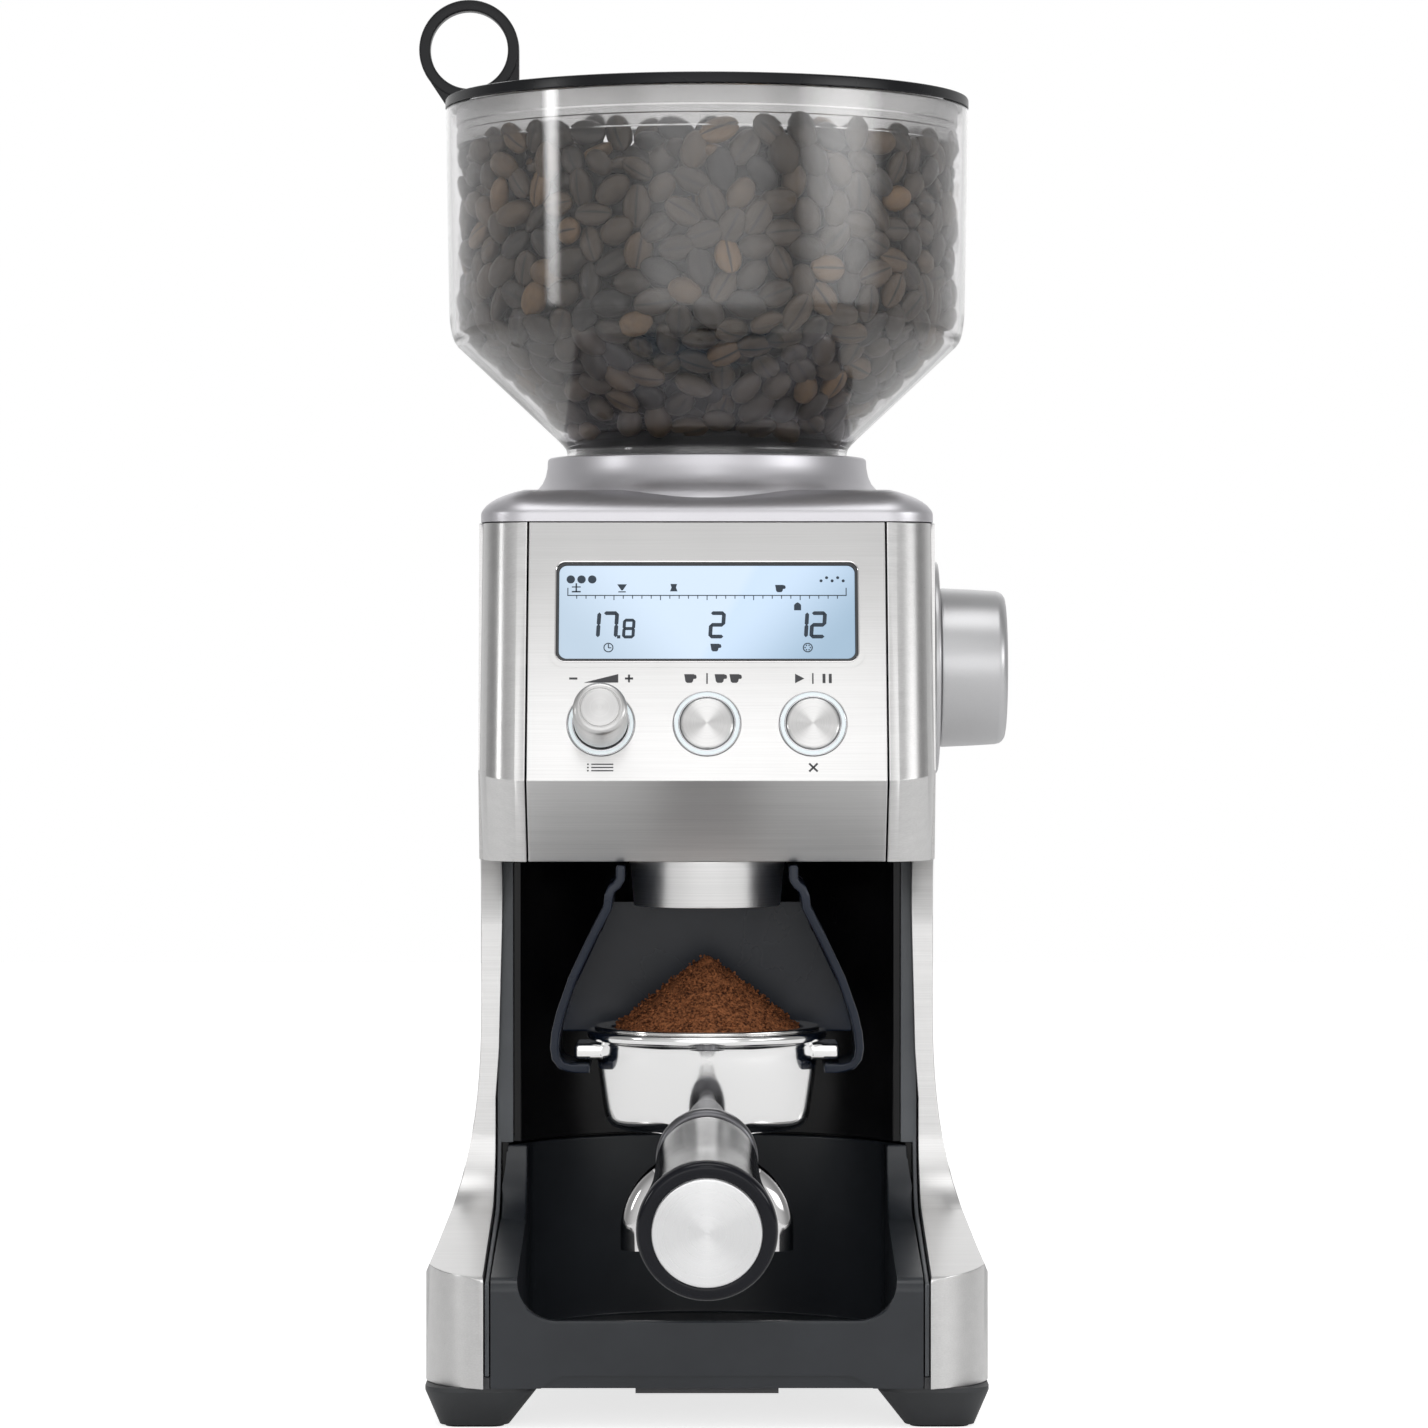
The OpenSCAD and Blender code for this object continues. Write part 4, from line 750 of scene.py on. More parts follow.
CUP = [(-1.0, 0.9), (-0.75, -0.6), (-0.45, -0.9), (0.45, -0.9), (0.75, -0.6), (0.85, -0.1), (1.35, -0.05),
       (1.5, 0.25), (1.35, 0.75), (0.98, 0.8), (1.0, 0.9)]
print("figures:", len(SEGMENTS))

# %% Display frame and screen
WINDOW_S = 47.7
WINDOW = PANEL @ shift(0, WINDOW_S, 0)


def window_frame(name, levels, mat, replaces=()):
    """A frame round the window. Each level is a width, a height, a corner radius and a depth."""
    bm = bmesh.new()
    loft(bm, [[(x, y, depth) for x, y in rounded(*size)] for *size, depth in levels], WINDOW)
    finish(name, bm, mat, "housing", replaces)


surround = [(84.2, 30.7, 3.7, -3.4), (84.2, 30.7, 3.7, 0.015), (85.4, 31.9, 4.3, 0.015),
            (85.4, 31.9, 4.3, 0.04), (82.3, 28.8, 2.9, 0.04), (82.3, 28.8, 2.9, -3.4)]
bezel = [(82.2, 28.7, 2.85, -3.3), (82.3, 28.8, 2.9, 0.1), (82.15, 28.65, 2.8, 0.26),
         (81.85, 28.35, 2.6, 0.3), (81.55, 28.05, 2.4, 0.2), (81.4, 27.9, 2.3, 0.0), (81.4, 27.9, 2.3, -3.3)]
gasket = [(81.4, 27.9, 2.3, -3.2), (81.4, 27.9, 2.3, -0.25), (81.2, 27.7, 2.25, -0.15),
          (80.3, 26.8, 2.2, -0.15), (80.1, 26.6, 2.2, -0.3), (80.1, 26.6, 2.2, -3.2)]
# The surround carries the panel's painted light and shade.
window_frame("display_surround", surround, panel_steel_painted_shading, ("display_frame",))
window_frame("display_bezel", bezel, chrome, ("display_frame",))
window_frame("display_gasket", gasket, frame_plastic)

screen_glow, tree, shader, where = new_material("screen_glow", WINDOW)
sides = add(tree, "SeparateXYZ", i0=where).outputs
from_middle = plus(tree, maths(tree, "ABSOLUTE", sides["X"]), times(tree, sides["Y"], -0.9))
lit_middle = eased(tree, from_middle, 0.010, 0.044, 1.0, 0.0)
backlight = colour_between(tree, lit_middle, (0.31, 0.45, 0.59), (0.62, 0.77, 0.96))
# Painted reflection: the left part of the screen is mixed towards a pale blue, where a cover glass would
# mirror a soft light.
slope = plus(tree, sides["X"], times(tree, sides["Y"], -0.55))
painted_reflection = eased(tree, slope, 0.004, 0.008, 0.36, 0.0)
tint(tree, shader, painted_reflection, backlight, (0.80, 0.88, 0.97), "Emission Color")
for_eye = add(tree, "LightPath").outputs["Is Camera Ray"]
tree.links.new(remap(tree, for_eye, 0.2, 0.86, 0.0, 1.0), shader.inputs["Emission Strength"])
steady(shader, Base_Color=(0.10, 0.13, 0.16, 1))
handled(tree, shader, where, 0.12, 0.06)
bm = bmesh.new()
plate(bm, rounded(80, 26.5, 2.15), -2.0, -0.5, WINDOW)
finish("screen", bm, screen_glow, "housing", ("display_window",), 0.12)
print("screen at", WINDOW_S, "mm up the panel")

# %% Display marks
MARK_H = -0.46
SCALE_S, SCALE_STEP = 52.4, 2.52
FIGURE_S, ICON_S = 40.2, 37.6
bm = bmesh.new()
bars = [(-37.8, 52.3, 37.8, 52.56), (-37.8, SCALE_S, -37.54, 54.6), (37.54, SCALE_S, 37.8, 54.6),
        (-24.3, FIGURE_S, -23.4, 41.1), (-35.6, 53.3, -35.2, 55.9), (-36.6, 53.3, -34.2, 53.7),
        (-36.6, 54.7, -34.2, 55.0), (-24.0, 53.3, -22.0, 53.6), (-26.74, 37.5, -26.46, 38.6),
        (-26.6, 37.4, -25.8, 37.66)]
for k in range(1, 30):
    tall = 0.9 if k % 5 else 1.3
    bars.append((-37.9 + k * SCALE_STEP, SCALE_S - tall, -37.66 + k * SCALE_STEP, SCALE_S))
for corners in bars:
    bar(bm, *corners, MARK_H)
for digit, x in (("1", -33.4), ("7", -28.6), ("2", 0.3), ("1", 22.8), ("2", 27.6)):
    figure(bm, digit, x, FIGURE_S, 4.4, 7.7, 1.05, MARK_H)
figure(bm, "8", -23.0, FIGURE_S, 3.4, 5.6, 0.85, MARK_H)
dots = [(-36.9 + k * 2.9, 57.0, 1.15, 20) for k in range(3)]
dots += [(36.9 - k * 1.5, 56.6 + 0.9 * (k % 2), 0.42, 12) for k in range(5)]
dots += [(27.2 + 0.72 * cos(k * pi / 3), ICON_S + 0.72 * sin(k * pi / 3), 0.2, 8) for k in range(6)]
for x, y, radius, steps in dots:
    disc(bm, x, y, radius, MARK_H, steps)
for x in (-26.6, 27.2):
    hoop(bm, x, ICON_S, 1.35, 0.28, MARK_H)
POINTER = [(-0.95, -1.0), (0.95, -1.0), (0.95, 0.5), (0.5, 1.0), (0, 1.25), (-0.5, 1.0), (-0.95, 0.5)]
FUNNEL = [(-1.3, 1.0), (-0.2, -0.7), (0.2, -0.7), (1.3, 1.0)]
BURR_SIDE = [(-0.9, 1.1), (-0.6, 0.1), (-1.0, -1.0), (1.0, -1.0), (0.6, 0.1), (0.9, 1.1)]
for points, x, y, scale in ((POINTER, 24.5, 49.2, 1), (FUNNEL, -23.0, 54.6, 1), (BURR_SIDE, -9.0, 54.6, 1),
                            (CUP, 19.6, 54.4, 1.15), (CUP, 2.1, ICON_S, 1.2)):
    shape(bm, points, x, y, MARK_H, scale)
segment_ink = plastic("segment_ink", (0.018, 0.034, 0.055), 0.35, relief=0.02)
finish("display_marks", bm, segment_ink, "housing")
print("screen marks at", MARK_H, "mm")

# %% [markdown]
# The labels round the controls are printed on the steel. Pictures say the same as words would: a ramp from
# less to more over the amount knob, one cup or two over the middle button, start or pause over the right
# one, and a cross for cancel below it. A print is a film of ink, here five hundredths of a millimetre thick.

# %% Printed pictures
CONTROL_S, PITCH = 16, 28.5
LABEL_S, CANCEL_S = 28.7, 3.7
INK_H = 0.02
bm = bmesh.new()
for x, x0, y0, x1, y1 in ((-PITCH, -8.6, -0.28, -6.4, 0.28), (-PITCH, 6.4, -0.28, 8.6, 0.28),
                          (-PITCH, 7.22, -1.1, 7.78, 1.1), (0, -0.2, -1.5, 0.2, 1.5),
                          (PITCH, -0.2, -1.5, 0.2, 1.5), (PITCH, 2.6, -1.3, 3.4, 1.3),
                          (PITCH, 4.3, -1.3, 5.1, 1.3)):
    bar(bm, x + x0, LABEL_S + y0, x + x1, LABEL_S + y1, INK_H)
shape(bm, [(-4.6, -1.15), (4.6, -1.15), (4.6, 1.25)], -PITCH, LABEL_S, INK_H)
for x in (-4.8, 3.4, 7.4):
    shape(bm, CUP, x, LABEL_S, INK_H, 1.35)
shape(bm, [(-1.2, -1.35), (1.3, 0), (-1.2, 1.35)], PITCH - 3.6, LABEL_S, INK_H)
for k in range(3):
    y = CANCEL_S - 0.9 + 0.9 * k
    disc(bm, -PITCH - 3.4, y, 0.24, INK_H, 10)
    bar(bm, -PITCH - 2.5, y - 0.16, -PITCH + 3.4, y + 0.16, INK_H)
for turn in (pi / 4, -pi / 4):
    arm = PANEL @ shift(PITCH, CANCEL_S, 0) @ Matrix.Rotation(turn, 4, "Z")
    bar(bm, -1.6, -0.26, 1.6, 0.26, INK_H, arm)
finish("panel_print", bm, print_ink, "housing")
print("label rows at", LABEL_S, "and", CANCEL_S, "mm up the panel")

# %% [markdown]
# Each control stands in a ring of light: a translucent ring, lit from behind, between two fine bright rims.
# The buttons are turned steel. Their faces carry the fine rings of the lathe, which spread a highlight into
# two fans of light. The amount knob is a satin cylinder with a soft shoulder and a shallow groove round its
# end.

# %% Light rings, buttons and knob
ring_glow, tree, shader, where = new_material("ring_glow", PANEL)
smudge = handled(tree, shader, where, 0.25, 0.1)
tint(tree, shader, smudge, (0.80, 0.92, 0.96), (0.90, 0.97, 0.99), "Emission Color")
steady(shader, Emission_Strength=0.55, Base_Color=(0.45, 0.48, 0.49, 1))

LIGHT_RING = [(7.75, -1.6), (8.75, -1.6), (8.75, 0.14), (8.45, 0.26), (8.05, 0.26), (7.75, 0.14)]
OUTER_RIM = [(8.75, -1.6), (9.06, -1.6), (9.08, 0.22), (9.0, 0.34), (8.86, 0.36), (8.76, 0.28)]
INNER_RIM = [(7.36, -1.6), (7.75, -1.6), (7.75, 0.2), (7.68, 0.24), (7.42, 0.24), (7.36, 0.18)]
KNOB_SPOT, SHOTS_SPOT, START_SPOT = [PANEL @ shift(k * PITCH, CONTROL_S, 0) for k in (-1, 0, 1)]
glow_bm, rim_bm = bmesh.new(), bmesh.new()
for place in (KNOB_SPOT, SHOTS_SPOT, START_SPOT):
    lathe(glow_bm, LIGHT_RING, place, 72)
    lathe(rim_bm, OUTER_RIM, place, 72)
    lathe(rim_bm, INNER_RIM, place, 72)
finish("light_rings", glow_bm, ring_glow, "housing", ("control_rings",))
finish("ring_rims", rim_bm, plated, "housing")

SPUN_DARK = (0.64, 0.635, 0.63)
button_face = [(0, 0.78), (3.5, 0.8), (6.4, 0.8), (6.8, 0.72), (7.05, 0.5), (7.18, 0.15), (7.2, -0.4),
               (7.2, -6), (2, -6), (2, -7.6), (0, -7.6)]
for place, node, name in ((SHOTS_SPOT, "shots_button", "shots_key"),
                          (START_SPOT, "start_button", "start_key")):
    spun = turned_metal(name + "_steel", place, SPUN_DARK, (0.80, 0.795, 0.79), 0.31, 0.95)
    turned(name, button_face, place, 96, spun, node, "button_steel", (node,))

knob_steel = turned_metal("knob_steel", KNOB_SPOT, SPUN_DARK, (0.76, 0.755, 0.75), 0.36, 0.3)
knob_profile = [(0, 10.3), (3.06, 10.3), (3.06, 1.6), (6.9, 1.6), (7.25, 1.9), (7.3, 2.6), (7.3, 12.9),
                (7.22, 13.7), (6.95, 14.25), (6.5, 14.6), (5.9, 14.75), (5.6, 14.75), (5.45, 14.5),
                (5.3, 14.5), (5.15, 14.8), (4.9, 14.95), (0, 15.0)]
turned("knob", knob_profile, KNOB_SPOT, 96, knob_steel, "amount_knob", "button_steel", ("amount_knob",))
print("controls", PITCH, "mm apart")

# %% [markdown]
# The grind size dial on the right side is a plain tapered drum of satin-finished metal on a thin disc. Both
# are turned, and the drum's end is dished by a fraction of a millimetre, which is what keeps a large flat
# end from looking like a mirror.

# %% Size dial
drum = [(0, 65.4), (21.9, 65.4), (22.3, 65.7), (22.4, 66.3), (22.0, 75), (21.6, 81.3), (21.3, 82.4),
        (20.7, 83.2), (19.8, 83.8), (18.7, 84.0), (17.9, 83.9), (17.0, 83.6), (0, 83.4)]
turned("dial_drum", drum, DIAL, 128, dial_silver, "size_dial", "dial_aluminium", ("size_dial",))
base = [(4.1, 55.4), (9.4, 55.4), (9.4, 63.3), (29.7, 63.3), (30, 63.6), (30, 64.3), (29.8, 64.7),
        (29.3, 64.95), (28.6, 65.0), (4.1, 65.0)]
turned("dial_disc", base, DIAL, 128, dial_silver, "housing", "dial_aluminium", ("dial_bezel",))
print("dial radius:", max(drum)[0], "mm")

# %% [markdown]
# The hopper is one clear moulding: a wide drum that leans out a little, a soft break, a cone, and a neck that
# drops into the collar. It is a real wall with an inside and an outside, so that light bends through it as
# through plastic. Its outside is the CAD model's. Its inside is drawn wider, because a thick wall bends the
# beans away from its edge and leaves a broad pale band there. The dark insert in the neck and the lock
# keep their CAD shapes.

# %% Hopper
outside = [(73.7, 356.6), (72.62, 299.5), (72.5, 297.6), (72.25, 295.6), (71.8, 293.4), (71.1, 291.6),
           (70.1, 290.3), (42.6, 264.6), (40.6, 262.6), (39.7, 261.4), (39.4, 260.2), (39.4, 248)]
inside = [(37.2, 248), (37.2, 261), (37.7, 262.2), (38.8, 263.4), (40.7, 265.1), (68.4, 291.0), (69.8, 292.5),
          (70.45, 294.1), (70.8, 296.1), (71.1, 299), (72.2, 356.6), (72.5, 357.0), (73.4, 357.0)]
turned("hopper_wall", outside + inside, BURR, 144, smoky_clear, "hopper", "hopper_clear", ("hopper",))
smooth_copy("hopper_base", "neck_insert", neck_plastic, "hopper", 0.3)
smooth_copy("hopper_lock", "lock_gate", neck_plastic, "hopper_lock", 0.3)
print("hopper points:", len(outside + inside))

# %% [markdown]
# The lid has a dark rim with a pull ring standing on its left edge, a smoky clear plate inside the rim, and a
# translucent seal that reaches down into the hopper. The ring is turned about an axis that points out of
# the front; its foot is a plate that follows the ring and runs down to the rim.

# %% Lid
PULL_X, PULL_Z = -67, 374
rim = [(70.7, 357.1), (73.5, 357.1), (73.7, 357.3), (73.7, 359.4), (73.45, 359.9), (72.9, 360.1),
       (71.6, 360.1), (70.9, 359.9), (70.7, 359.4)]
ring = [(10.9, -1.9), (11.1, -2.3), (11.5, -2.5), (13.5, -2.5), (13.9, -2.3), (14.08, -1.9)]
bm = bmesh.new()
lathe(bm, rim, BURR, 144)
pull = BURR @ shift(PULL_X, 0, PULL_Z) @ Matrix.Rotation(pi / 2, 4, "X")
lathe(bm, ring + [(r, -z) for r, z in reversed(ring)], pull, 72)
foot = [(-12.6, -6.4), (-6.3, -15.9), (14.08, -15.9), (14.08, -0.3)]
foot += [(12.5 * cos(radians(a)), 12.5 * sin(radians(a))) for a in range(-4, -151, -8)]
foot_bm = bmesh.new()
plate(foot_bm, foot, -2.2, 2.2, pull)
rims = [e for e in foot_bm.edges if e.calc_face_angle(0) > radians(60)]
bmesh.ops.bevel(foot_bm, geom=rims, offset=0.35 * MM, segments=2, profile=0.5, affect="EDGES", material=-1)
foot_mesh = bpy.data.meshes.new("pull_foot")
foot_bm.to_mesh(foot_mesh)
foot_bm.free()
bm.from_mesh(foot_mesh)
bpy.data.meshes.remove(foot_mesh)
finish("lid_rim", bm, lid_plastic, "lid", ("lid",))

glass = [(0, 357.7), (70.7, 357.7), (70.7, 359.3), (0, 359.3)]
turned("lid_plate", glass, BURR, 128, smoky_clear, "lid", "lid_smoke")
seal = [(68.1, 346.3), (68.3, 346.1), (70.4, 346.1), (70.6, 346.3), (70.6, 349.4), (70.2, 349.8),
        (70.2, 351.6), (70.6, 352.0), (70.6, 357.0), (68.1, 357.0)]
turned("seal_ring", seal, BURR, 128, seal_clear, "lid", "seal_clear", ("lid_seal",))
print("pull ring centre:", PULL_X, PULL_Z)

# %% [markdown]
# Coffee beans fill the hopper. One bean is a small ball stretched to a bean's three sizes, flatter on one
# side, with a crease pressed along it. The ball's poles lie at the bean's ends, so a single row of points
# runs along the crease and the rows beside it can be drawn close to keep the crease sharp.

# %% One bean
BEAN_SIZE = (5.4 * MM, 3.9 * MM, 3.0 * MM)
CREASE_DEPTH, FLATNESS = 0.42, 0.6
ROWS = (0, 13, 50, 92, 136, 180)


def bean_mesh():
    bm = bmesh.new()
    fold = bm.verts.layers.float.new("fold")
    bmesh.ops.create_uvsphere(bm, u_segments=10, v_segments=7, radius=1)
    lying = Matrix.Rotation(pi / 10, 3, "X") @ Matrix.Rotation(pi / 2, 3, "Y")
    bmesh.ops.rotate(bm, verts=bm.verts, matrix=lying)
    for v in bm.verts:
        reach = hypot(v.co.y, v.co.z)
        if reach < 0.01:
            continue
        row = round(atan2(v.co.y, -v.co.z) / (tau / 10))
        angle = radians(ROWS[abs(row)]) * (1 if row > 0 else -1)
        v.co.y, v.co.z = reach * sin(angle), -reach * cos(angle)
        # The crease row is marked with fold, which the bean material uses to paint shade along the crease.
        if row == 0:
            v.co.z += CREASE_DEPTH * reach
            v[fold] = 1
    for v in bm.verts:
        v.co.z *= FLATNESS if v.co.z < 0 else 1
    bmesh.ops.scale(bm, verts=bm.verts, vec=BEAN_SIZE)
    for face in bm.faces:
        face.smooth = True
    mesh = bpy.data.meshes.new("bean")
    bm.to_mesh(mesh)
    bm.free()
    return mesh


one_bean = bean_mesh()
print("faces on a bean:", len(one_bean.polygons))

# %% [markdown]
# Beans touch but hardly overlap. Two layers lie along the hopper's wall and one on top: points are strewn
# over the surface, then each pair that stands too close pushes itself apart, over and over, while every
# point is kept on its surface. Numpy does that for all pairs at once. Inside the layers, where no light
# comes, a plain lump in the darkest bean colour fills the space, as painted shade. The layer behind gets a
# darker tone too, a painted shade, so that the gaps look deep.

# %% Where the beans lie
ROUNDS = 60
PUSH = 0.28
PACKING = 0.866
dice = np.random.default_rng(7)
WALL_LINE = np.array([(71.2, 345.0), (70.9, 298.0), (69.6, 292.6), (40.9, 265.1)])


def spread_on_wall(depth, spacing):
    """Points (x, y, z), and their outward directions, on the hopper's inside drawn in by depth."""
    line = WALL_LINE.copy()
    line[:, 0] -= depth
    line[1:, 1] += depth * 0.45
    steps = np.diff(line, axis=0)
    lengths = np.hypot(*steps.T)
    reach = np.concatenate([[0], np.cumsum(lengths)])
    area = float(np.sum(lengths * (line[:-1, 0] + line[1:, 0]) * pi))
    count = int(area / (PACKING * spacing ** 2))

    def place(t):
        return np.interp(t, reach, line[:, 0]), np.interp(t, reach, line[:, 1])

    t = dice.uniform(0, reach[-1], count * 3)
    keep = dice.uniform(0, line[0, 0], count * 3) < place(t)[0]
    t = t[keep][:count]
    angle = dice.uniform(0, tau, len(t))
    for step in range(ROUNDS):
        r, z = place(t)
        spots = np.stack([r * np.cos(angle), r * np.sin(angle), z], axis=1)
        away = spots[:, None] - spots[None]
        gap = np.linalg.norm(away, axis=2) + np.eye(len(t)) * 1e3
        push = np.clip(spacing - gap, 0, None) * PUSH
        move = (away / gap[..., None] * push[..., None]).sum(axis=1)
        around = np.stack([-np.sin(angle), np.cos(angle), np.zeros_like(angle)], axis=1)
        part = np.clip(np.searchsorted(reach, t, side="right") - 1, 0, len(steps) - 1)
        down = steps[part] / lengths[part][:, None]
        along = np.stack([down[:, 0] * np.cos(angle), down[:, 0] * np.sin(angle), down[:, 1]], axis=1)
        angle += (move * around).sum(axis=1) / r
        t = np.clip(t + (move * along).sum(axis=1), 0, reach[-1])
    outwards = np.stack([-down[:, 1] * np.cos(angle), -down[:, 1] * np.sin(angle), down[:, 0]], axis=1)
    return spots, outwards


def spread_on_top(radius, height, spacing):
    """Points, and upward directions, on a gently domed disc."""
    count = int(pi * radius ** 2 / (PACKING * spacing ** 2))
    spots = dice.uniform(-radius, radius, (count * 2, 2))
    spots = spots[np.hypot(*spots.T) < radius][:count]
    for step in range(ROUNDS):
        away = spots[:, None] - spots[None]
        gap = np.linalg.norm(away, axis=2) + np.eye(len(spots)) * 1e3
        push = np.clip(spacing - gap, 0, None) * PUSH
        spots = spots + (away / gap[..., None] * push[..., None]).sum(axis=1)
        spots *= np.minimum(1, radius / np.maximum(np.hypot(*spots.T), 1e-6))[:, None]
    lift = height + dice.uniform(-3.2, 3.2, len(spots)) + 2.5 * np.cos(np.hypot(*spots.T) / radius * 3)
    return np.column_stack([spots, lift]), np.tile((0.0, 0.0, 1.0), (len(spots), 1))


BEAN_GAP = 8.7
loose = 1.0
front_layer = spread_on_wall(3.3, BEAN_GAP * loose)
back_layer = spread_on_wall(8.6, 8.4 * loose)
top_layer = spread_on_top(64, 341.5, 8.2 * loose)
print("beans:", len(front_layer[0]), len(back_layer[0]), len(top_layer[0]))

# %% Laying the beans
roasted, tree, shader, where = new_material("roasted_beans")
shade = add(tree, "Attribute", {"attribute_name": "tone"}).outputs["Fac"]
ramp = add(tree, "ValToRGB", i0=shade)
stops = ramp.color_ramp.elements
stops[0].position, stops[0].color = 0.0, (0.016, 0.011, 0.008, 1)
stops[1].position, stops[1].color = 1.0, (0.30, 0.175, 0.075, 1)
middle_stop = stops.new(0.45)
middle_stop.color = (0.092, 0.064, 0.040, 1)
mottle = mottled(tree, where, 420.0, 3.0)
speckled = add(tree, "Mix", {"data_type": "RGBA", "blend_type": "MULTIPLY"}, {"Factor": 0.7},
               i6=ramp.outputs[0],
               i7=colour_between(tree, remap(tree, mottle, 0, 1), (0.6, 0.58, 0.56), (1.0, 1.0, 1.0)))
# Painted shade: the colour is darkened along the crease, where shade falls in the fold.
crease = add(tree, "Attribute", {"attribute_name": "fold"}).outputs["Fac"]
tint(tree, shader, remap(tree, crease, 0, 0.9, 0.25, 0.85), speckled.outputs[2], (0.012, 0.008, 0.006))
tree.links.new(remap(tree, mottle, 0.34, 0.5), shader.inputs["Roughness"])
bump(tree, shader, mottle, 0.25, 0.0002)

TILT, TURNED_IN, PALE = 0.19, 0.6, 0.05


def lay_beans(name, layer, seed, usual_tone):
    """Lays a bean on every spot of a layer, most of them with their crease turned inwards."""
    luck = random.Random(seed)
    bm = bmesh.new()
    tone = bm.verts.layers.float.new("tone")
    bm.verts.layers.float.new("fold")
    for spot, out in zip(*layer):
        out = Vector(out) + Vector([luck.gauss(0, TILT) for k in range(3)])
        side = out.cross(Vector([luck.gauss(0, 1) for k in range(3)])).normalized()
        facing = out.normalized() * (-1 if luck.random() < TURNED_IN else 1)
        turn = Matrix((side, facing.cross(side).normalized(), facing)).transposed().to_4x4()
        size = luck.gauss(1.0, 0.055)
        stretch = Matrix.Diagonal((size * luck.uniform(0.92, 1.08), size, size, 1))
        bean = one_bean.copy()
        bean.transform(BURR @ Matrix.Translation(Vector(spot) * MM) @ turn @ stretch)
        first = len(bm.verts)
        bm.from_mesh(bean)
        bpy.data.meshes.remove(bean)
        bm.verts.ensure_lookup_table()
        shade = min(1, max(0, luck.gauss(usual_tone, 0.17) + (0.42 if luck.random() < PALE else 0)))
        for v in bm.verts[first:]:
            v[tone] = shade
    finish(name, bm, roasted, "hopper", clean=False, sharp=180)


lay_beans("beans_by_the_wall", front_layer, 3, 0.33)
# The layer behind gets a low usual tone: painted shade, so the gaps between the front beans look deep.
lay_beans("beans_behind", back_layer, 4, 0.06)
lay_beans("beans_on_top", top_layer, 5, 0.30)
# The lump has no tone, so it takes the darkest bean colour: painted shade inside the heap.
lump = [(0, 338), (58, 336), (58, 297), (32, 270), (24, 270), (24, 303), (0, 303)]
turned("bean_core", lump, BURR, 48, roasted, "hopper", "hopper_dark")
print("bean layers:", 3)

# %% [markdown]
# Under the head hangs the outlet, a short tapered collar of satin steel, and on it the cradle is hung. Long
# vertical reflections run down the collar, so its finish is turned, with the tangent pointing outwards.

# %% Outlet
collar = [(10.4, 147.5), (21.2, 147.5), (21.3, 147.2), (20.15, 135.4), (20.0, 134.95), (19.6, 134.8),
          (18.9, 134.85), (18.6, 135.3), (18.7, 146.0), (10.4, 146.0)]
turned("outlet", collar, HOLDER, 128, collar_steel, "housing", "collar_steel", ("outlet_collar",))
print("outlet radius:", max(collar)[0])

# %% [markdown]
# The filter holder is polished brass under chrome. Its looks come from its curves, so each part is turned
# with rolled edges rather than sharp ones: the bowl with its thick rim, the pressed basket that sits in it,
# the neck that drops from the bowl, the ferrule, the black grip and the spun disc that closes it. Only the
# spouts keep their CAD shape. The bowl's chrome is painted paler and the neck's and the ferrule ring's
# darker, as painted light and shade.

# %% Filter holder
def block(bm, low, high, place, ease):
    """A block between two corners in millimetres, with all its edges rounded."""
    made = bmesh.ops.create_cube(bm, size=1)["verts"]
    size = Vector(high) - Vector(low)
    bmesh.ops.scale(bm, vec=size * MM, verts=made)
    bmesh.ops.translate(bm, vec=(Vector(low) + Vector(high)) / 2 * MM, verts=made)
    rims = list(dict.fromkeys(e for v in made for e in v.link_edges))
    made = bmesh.ops.bevel(bm, geom=rims, offset=ease * MM, segments=3, profile=0.5, affect="EDGES",
                           material=-1)["verts"]
    bmesh.ops.transform(bm, matrix=place, verts=list(dict.fromkeys(made)))


def on_holder(name, profile, place, steps, mat, slot, replaces=(), sharp=32):
    turned(name, profile, place, steps, mat, "filter_holder", slot, replaces, sharp)


bowl = [(4, 73.5), (22.6, 73.5), (24.6, 73.7), (26.3, 74.4), (27.4, 75.6), (28.1, 77.2), (28.6, 79.8),
        (29.2, 84.0), (29.8, 88.6), (30.15, 92.4), (30.2, 94.6), (30.2, 96.8), (30.6, 97.7), (31.5, 98.0),
        (32.3, 98.15), (32.75, 98.5), (32.9, 99.1), (32.9, 99.9), (32.7, 100.4), (32.2, 100.75),
        (31.4, 100.8), (27.4, 100.8), (26.9, 100.5), (26.9, 79.0), (24.5, 78.8), (24.5, 76.6), (4, 76.5)]
bm = bmesh.new()
lathe(bm, bowl, HOLDER, 128)
block(bm, (28.0, -9, 92.9), (36.3, 9, 97.3), HOLDER, 1.2)
block(bm, (-36.3, -9, 92.9), (-28.0, 9, 97.3), HOLDER, 1.2)
# The bowl's chrome is paler than the chrome of the ferrule and spouts: painted light, for the bright
# reflections it shows.
bowl_chrome_painted_light = smooth_metal("bowl_chrome_painted_light", (0.97, 0.965, 0.96), 0.09, 0.03)
finish("holder_bowl", bm, bowl_chrome_painted_light, "filter_holder", ("filter_holder",), sharp=50)

cup = [(0, 80.8), (25.7, 80.8), (26.4, 81.1), (26.7, 81.8), (26.7, 100.86), (30.9, 100.88), (31.0, 101.2),
       (30.9, 101.6), (30.5, 101.85), (29.6, 101.84), (27.4, 101.75), (26.5, 101.5), (26.05, 101.0),
       (25.9, 100.2), (25.9, 82.6), (25.3, 81.9), (0, 81.8)]
basket_steel = turned_metal("basket_steel", HOLDER, (0.66, 0.65, 0.64), (0.78, 0.77, 0.76), 0.18, 0.5)
on_holder("basket", cup, HOLDER, 128, basket_steel, "basket_steel", ("filter_basket",))
smooth_copy("holder_spouts", "spouts", chrome, "filter_holder", 0, sharp=50)

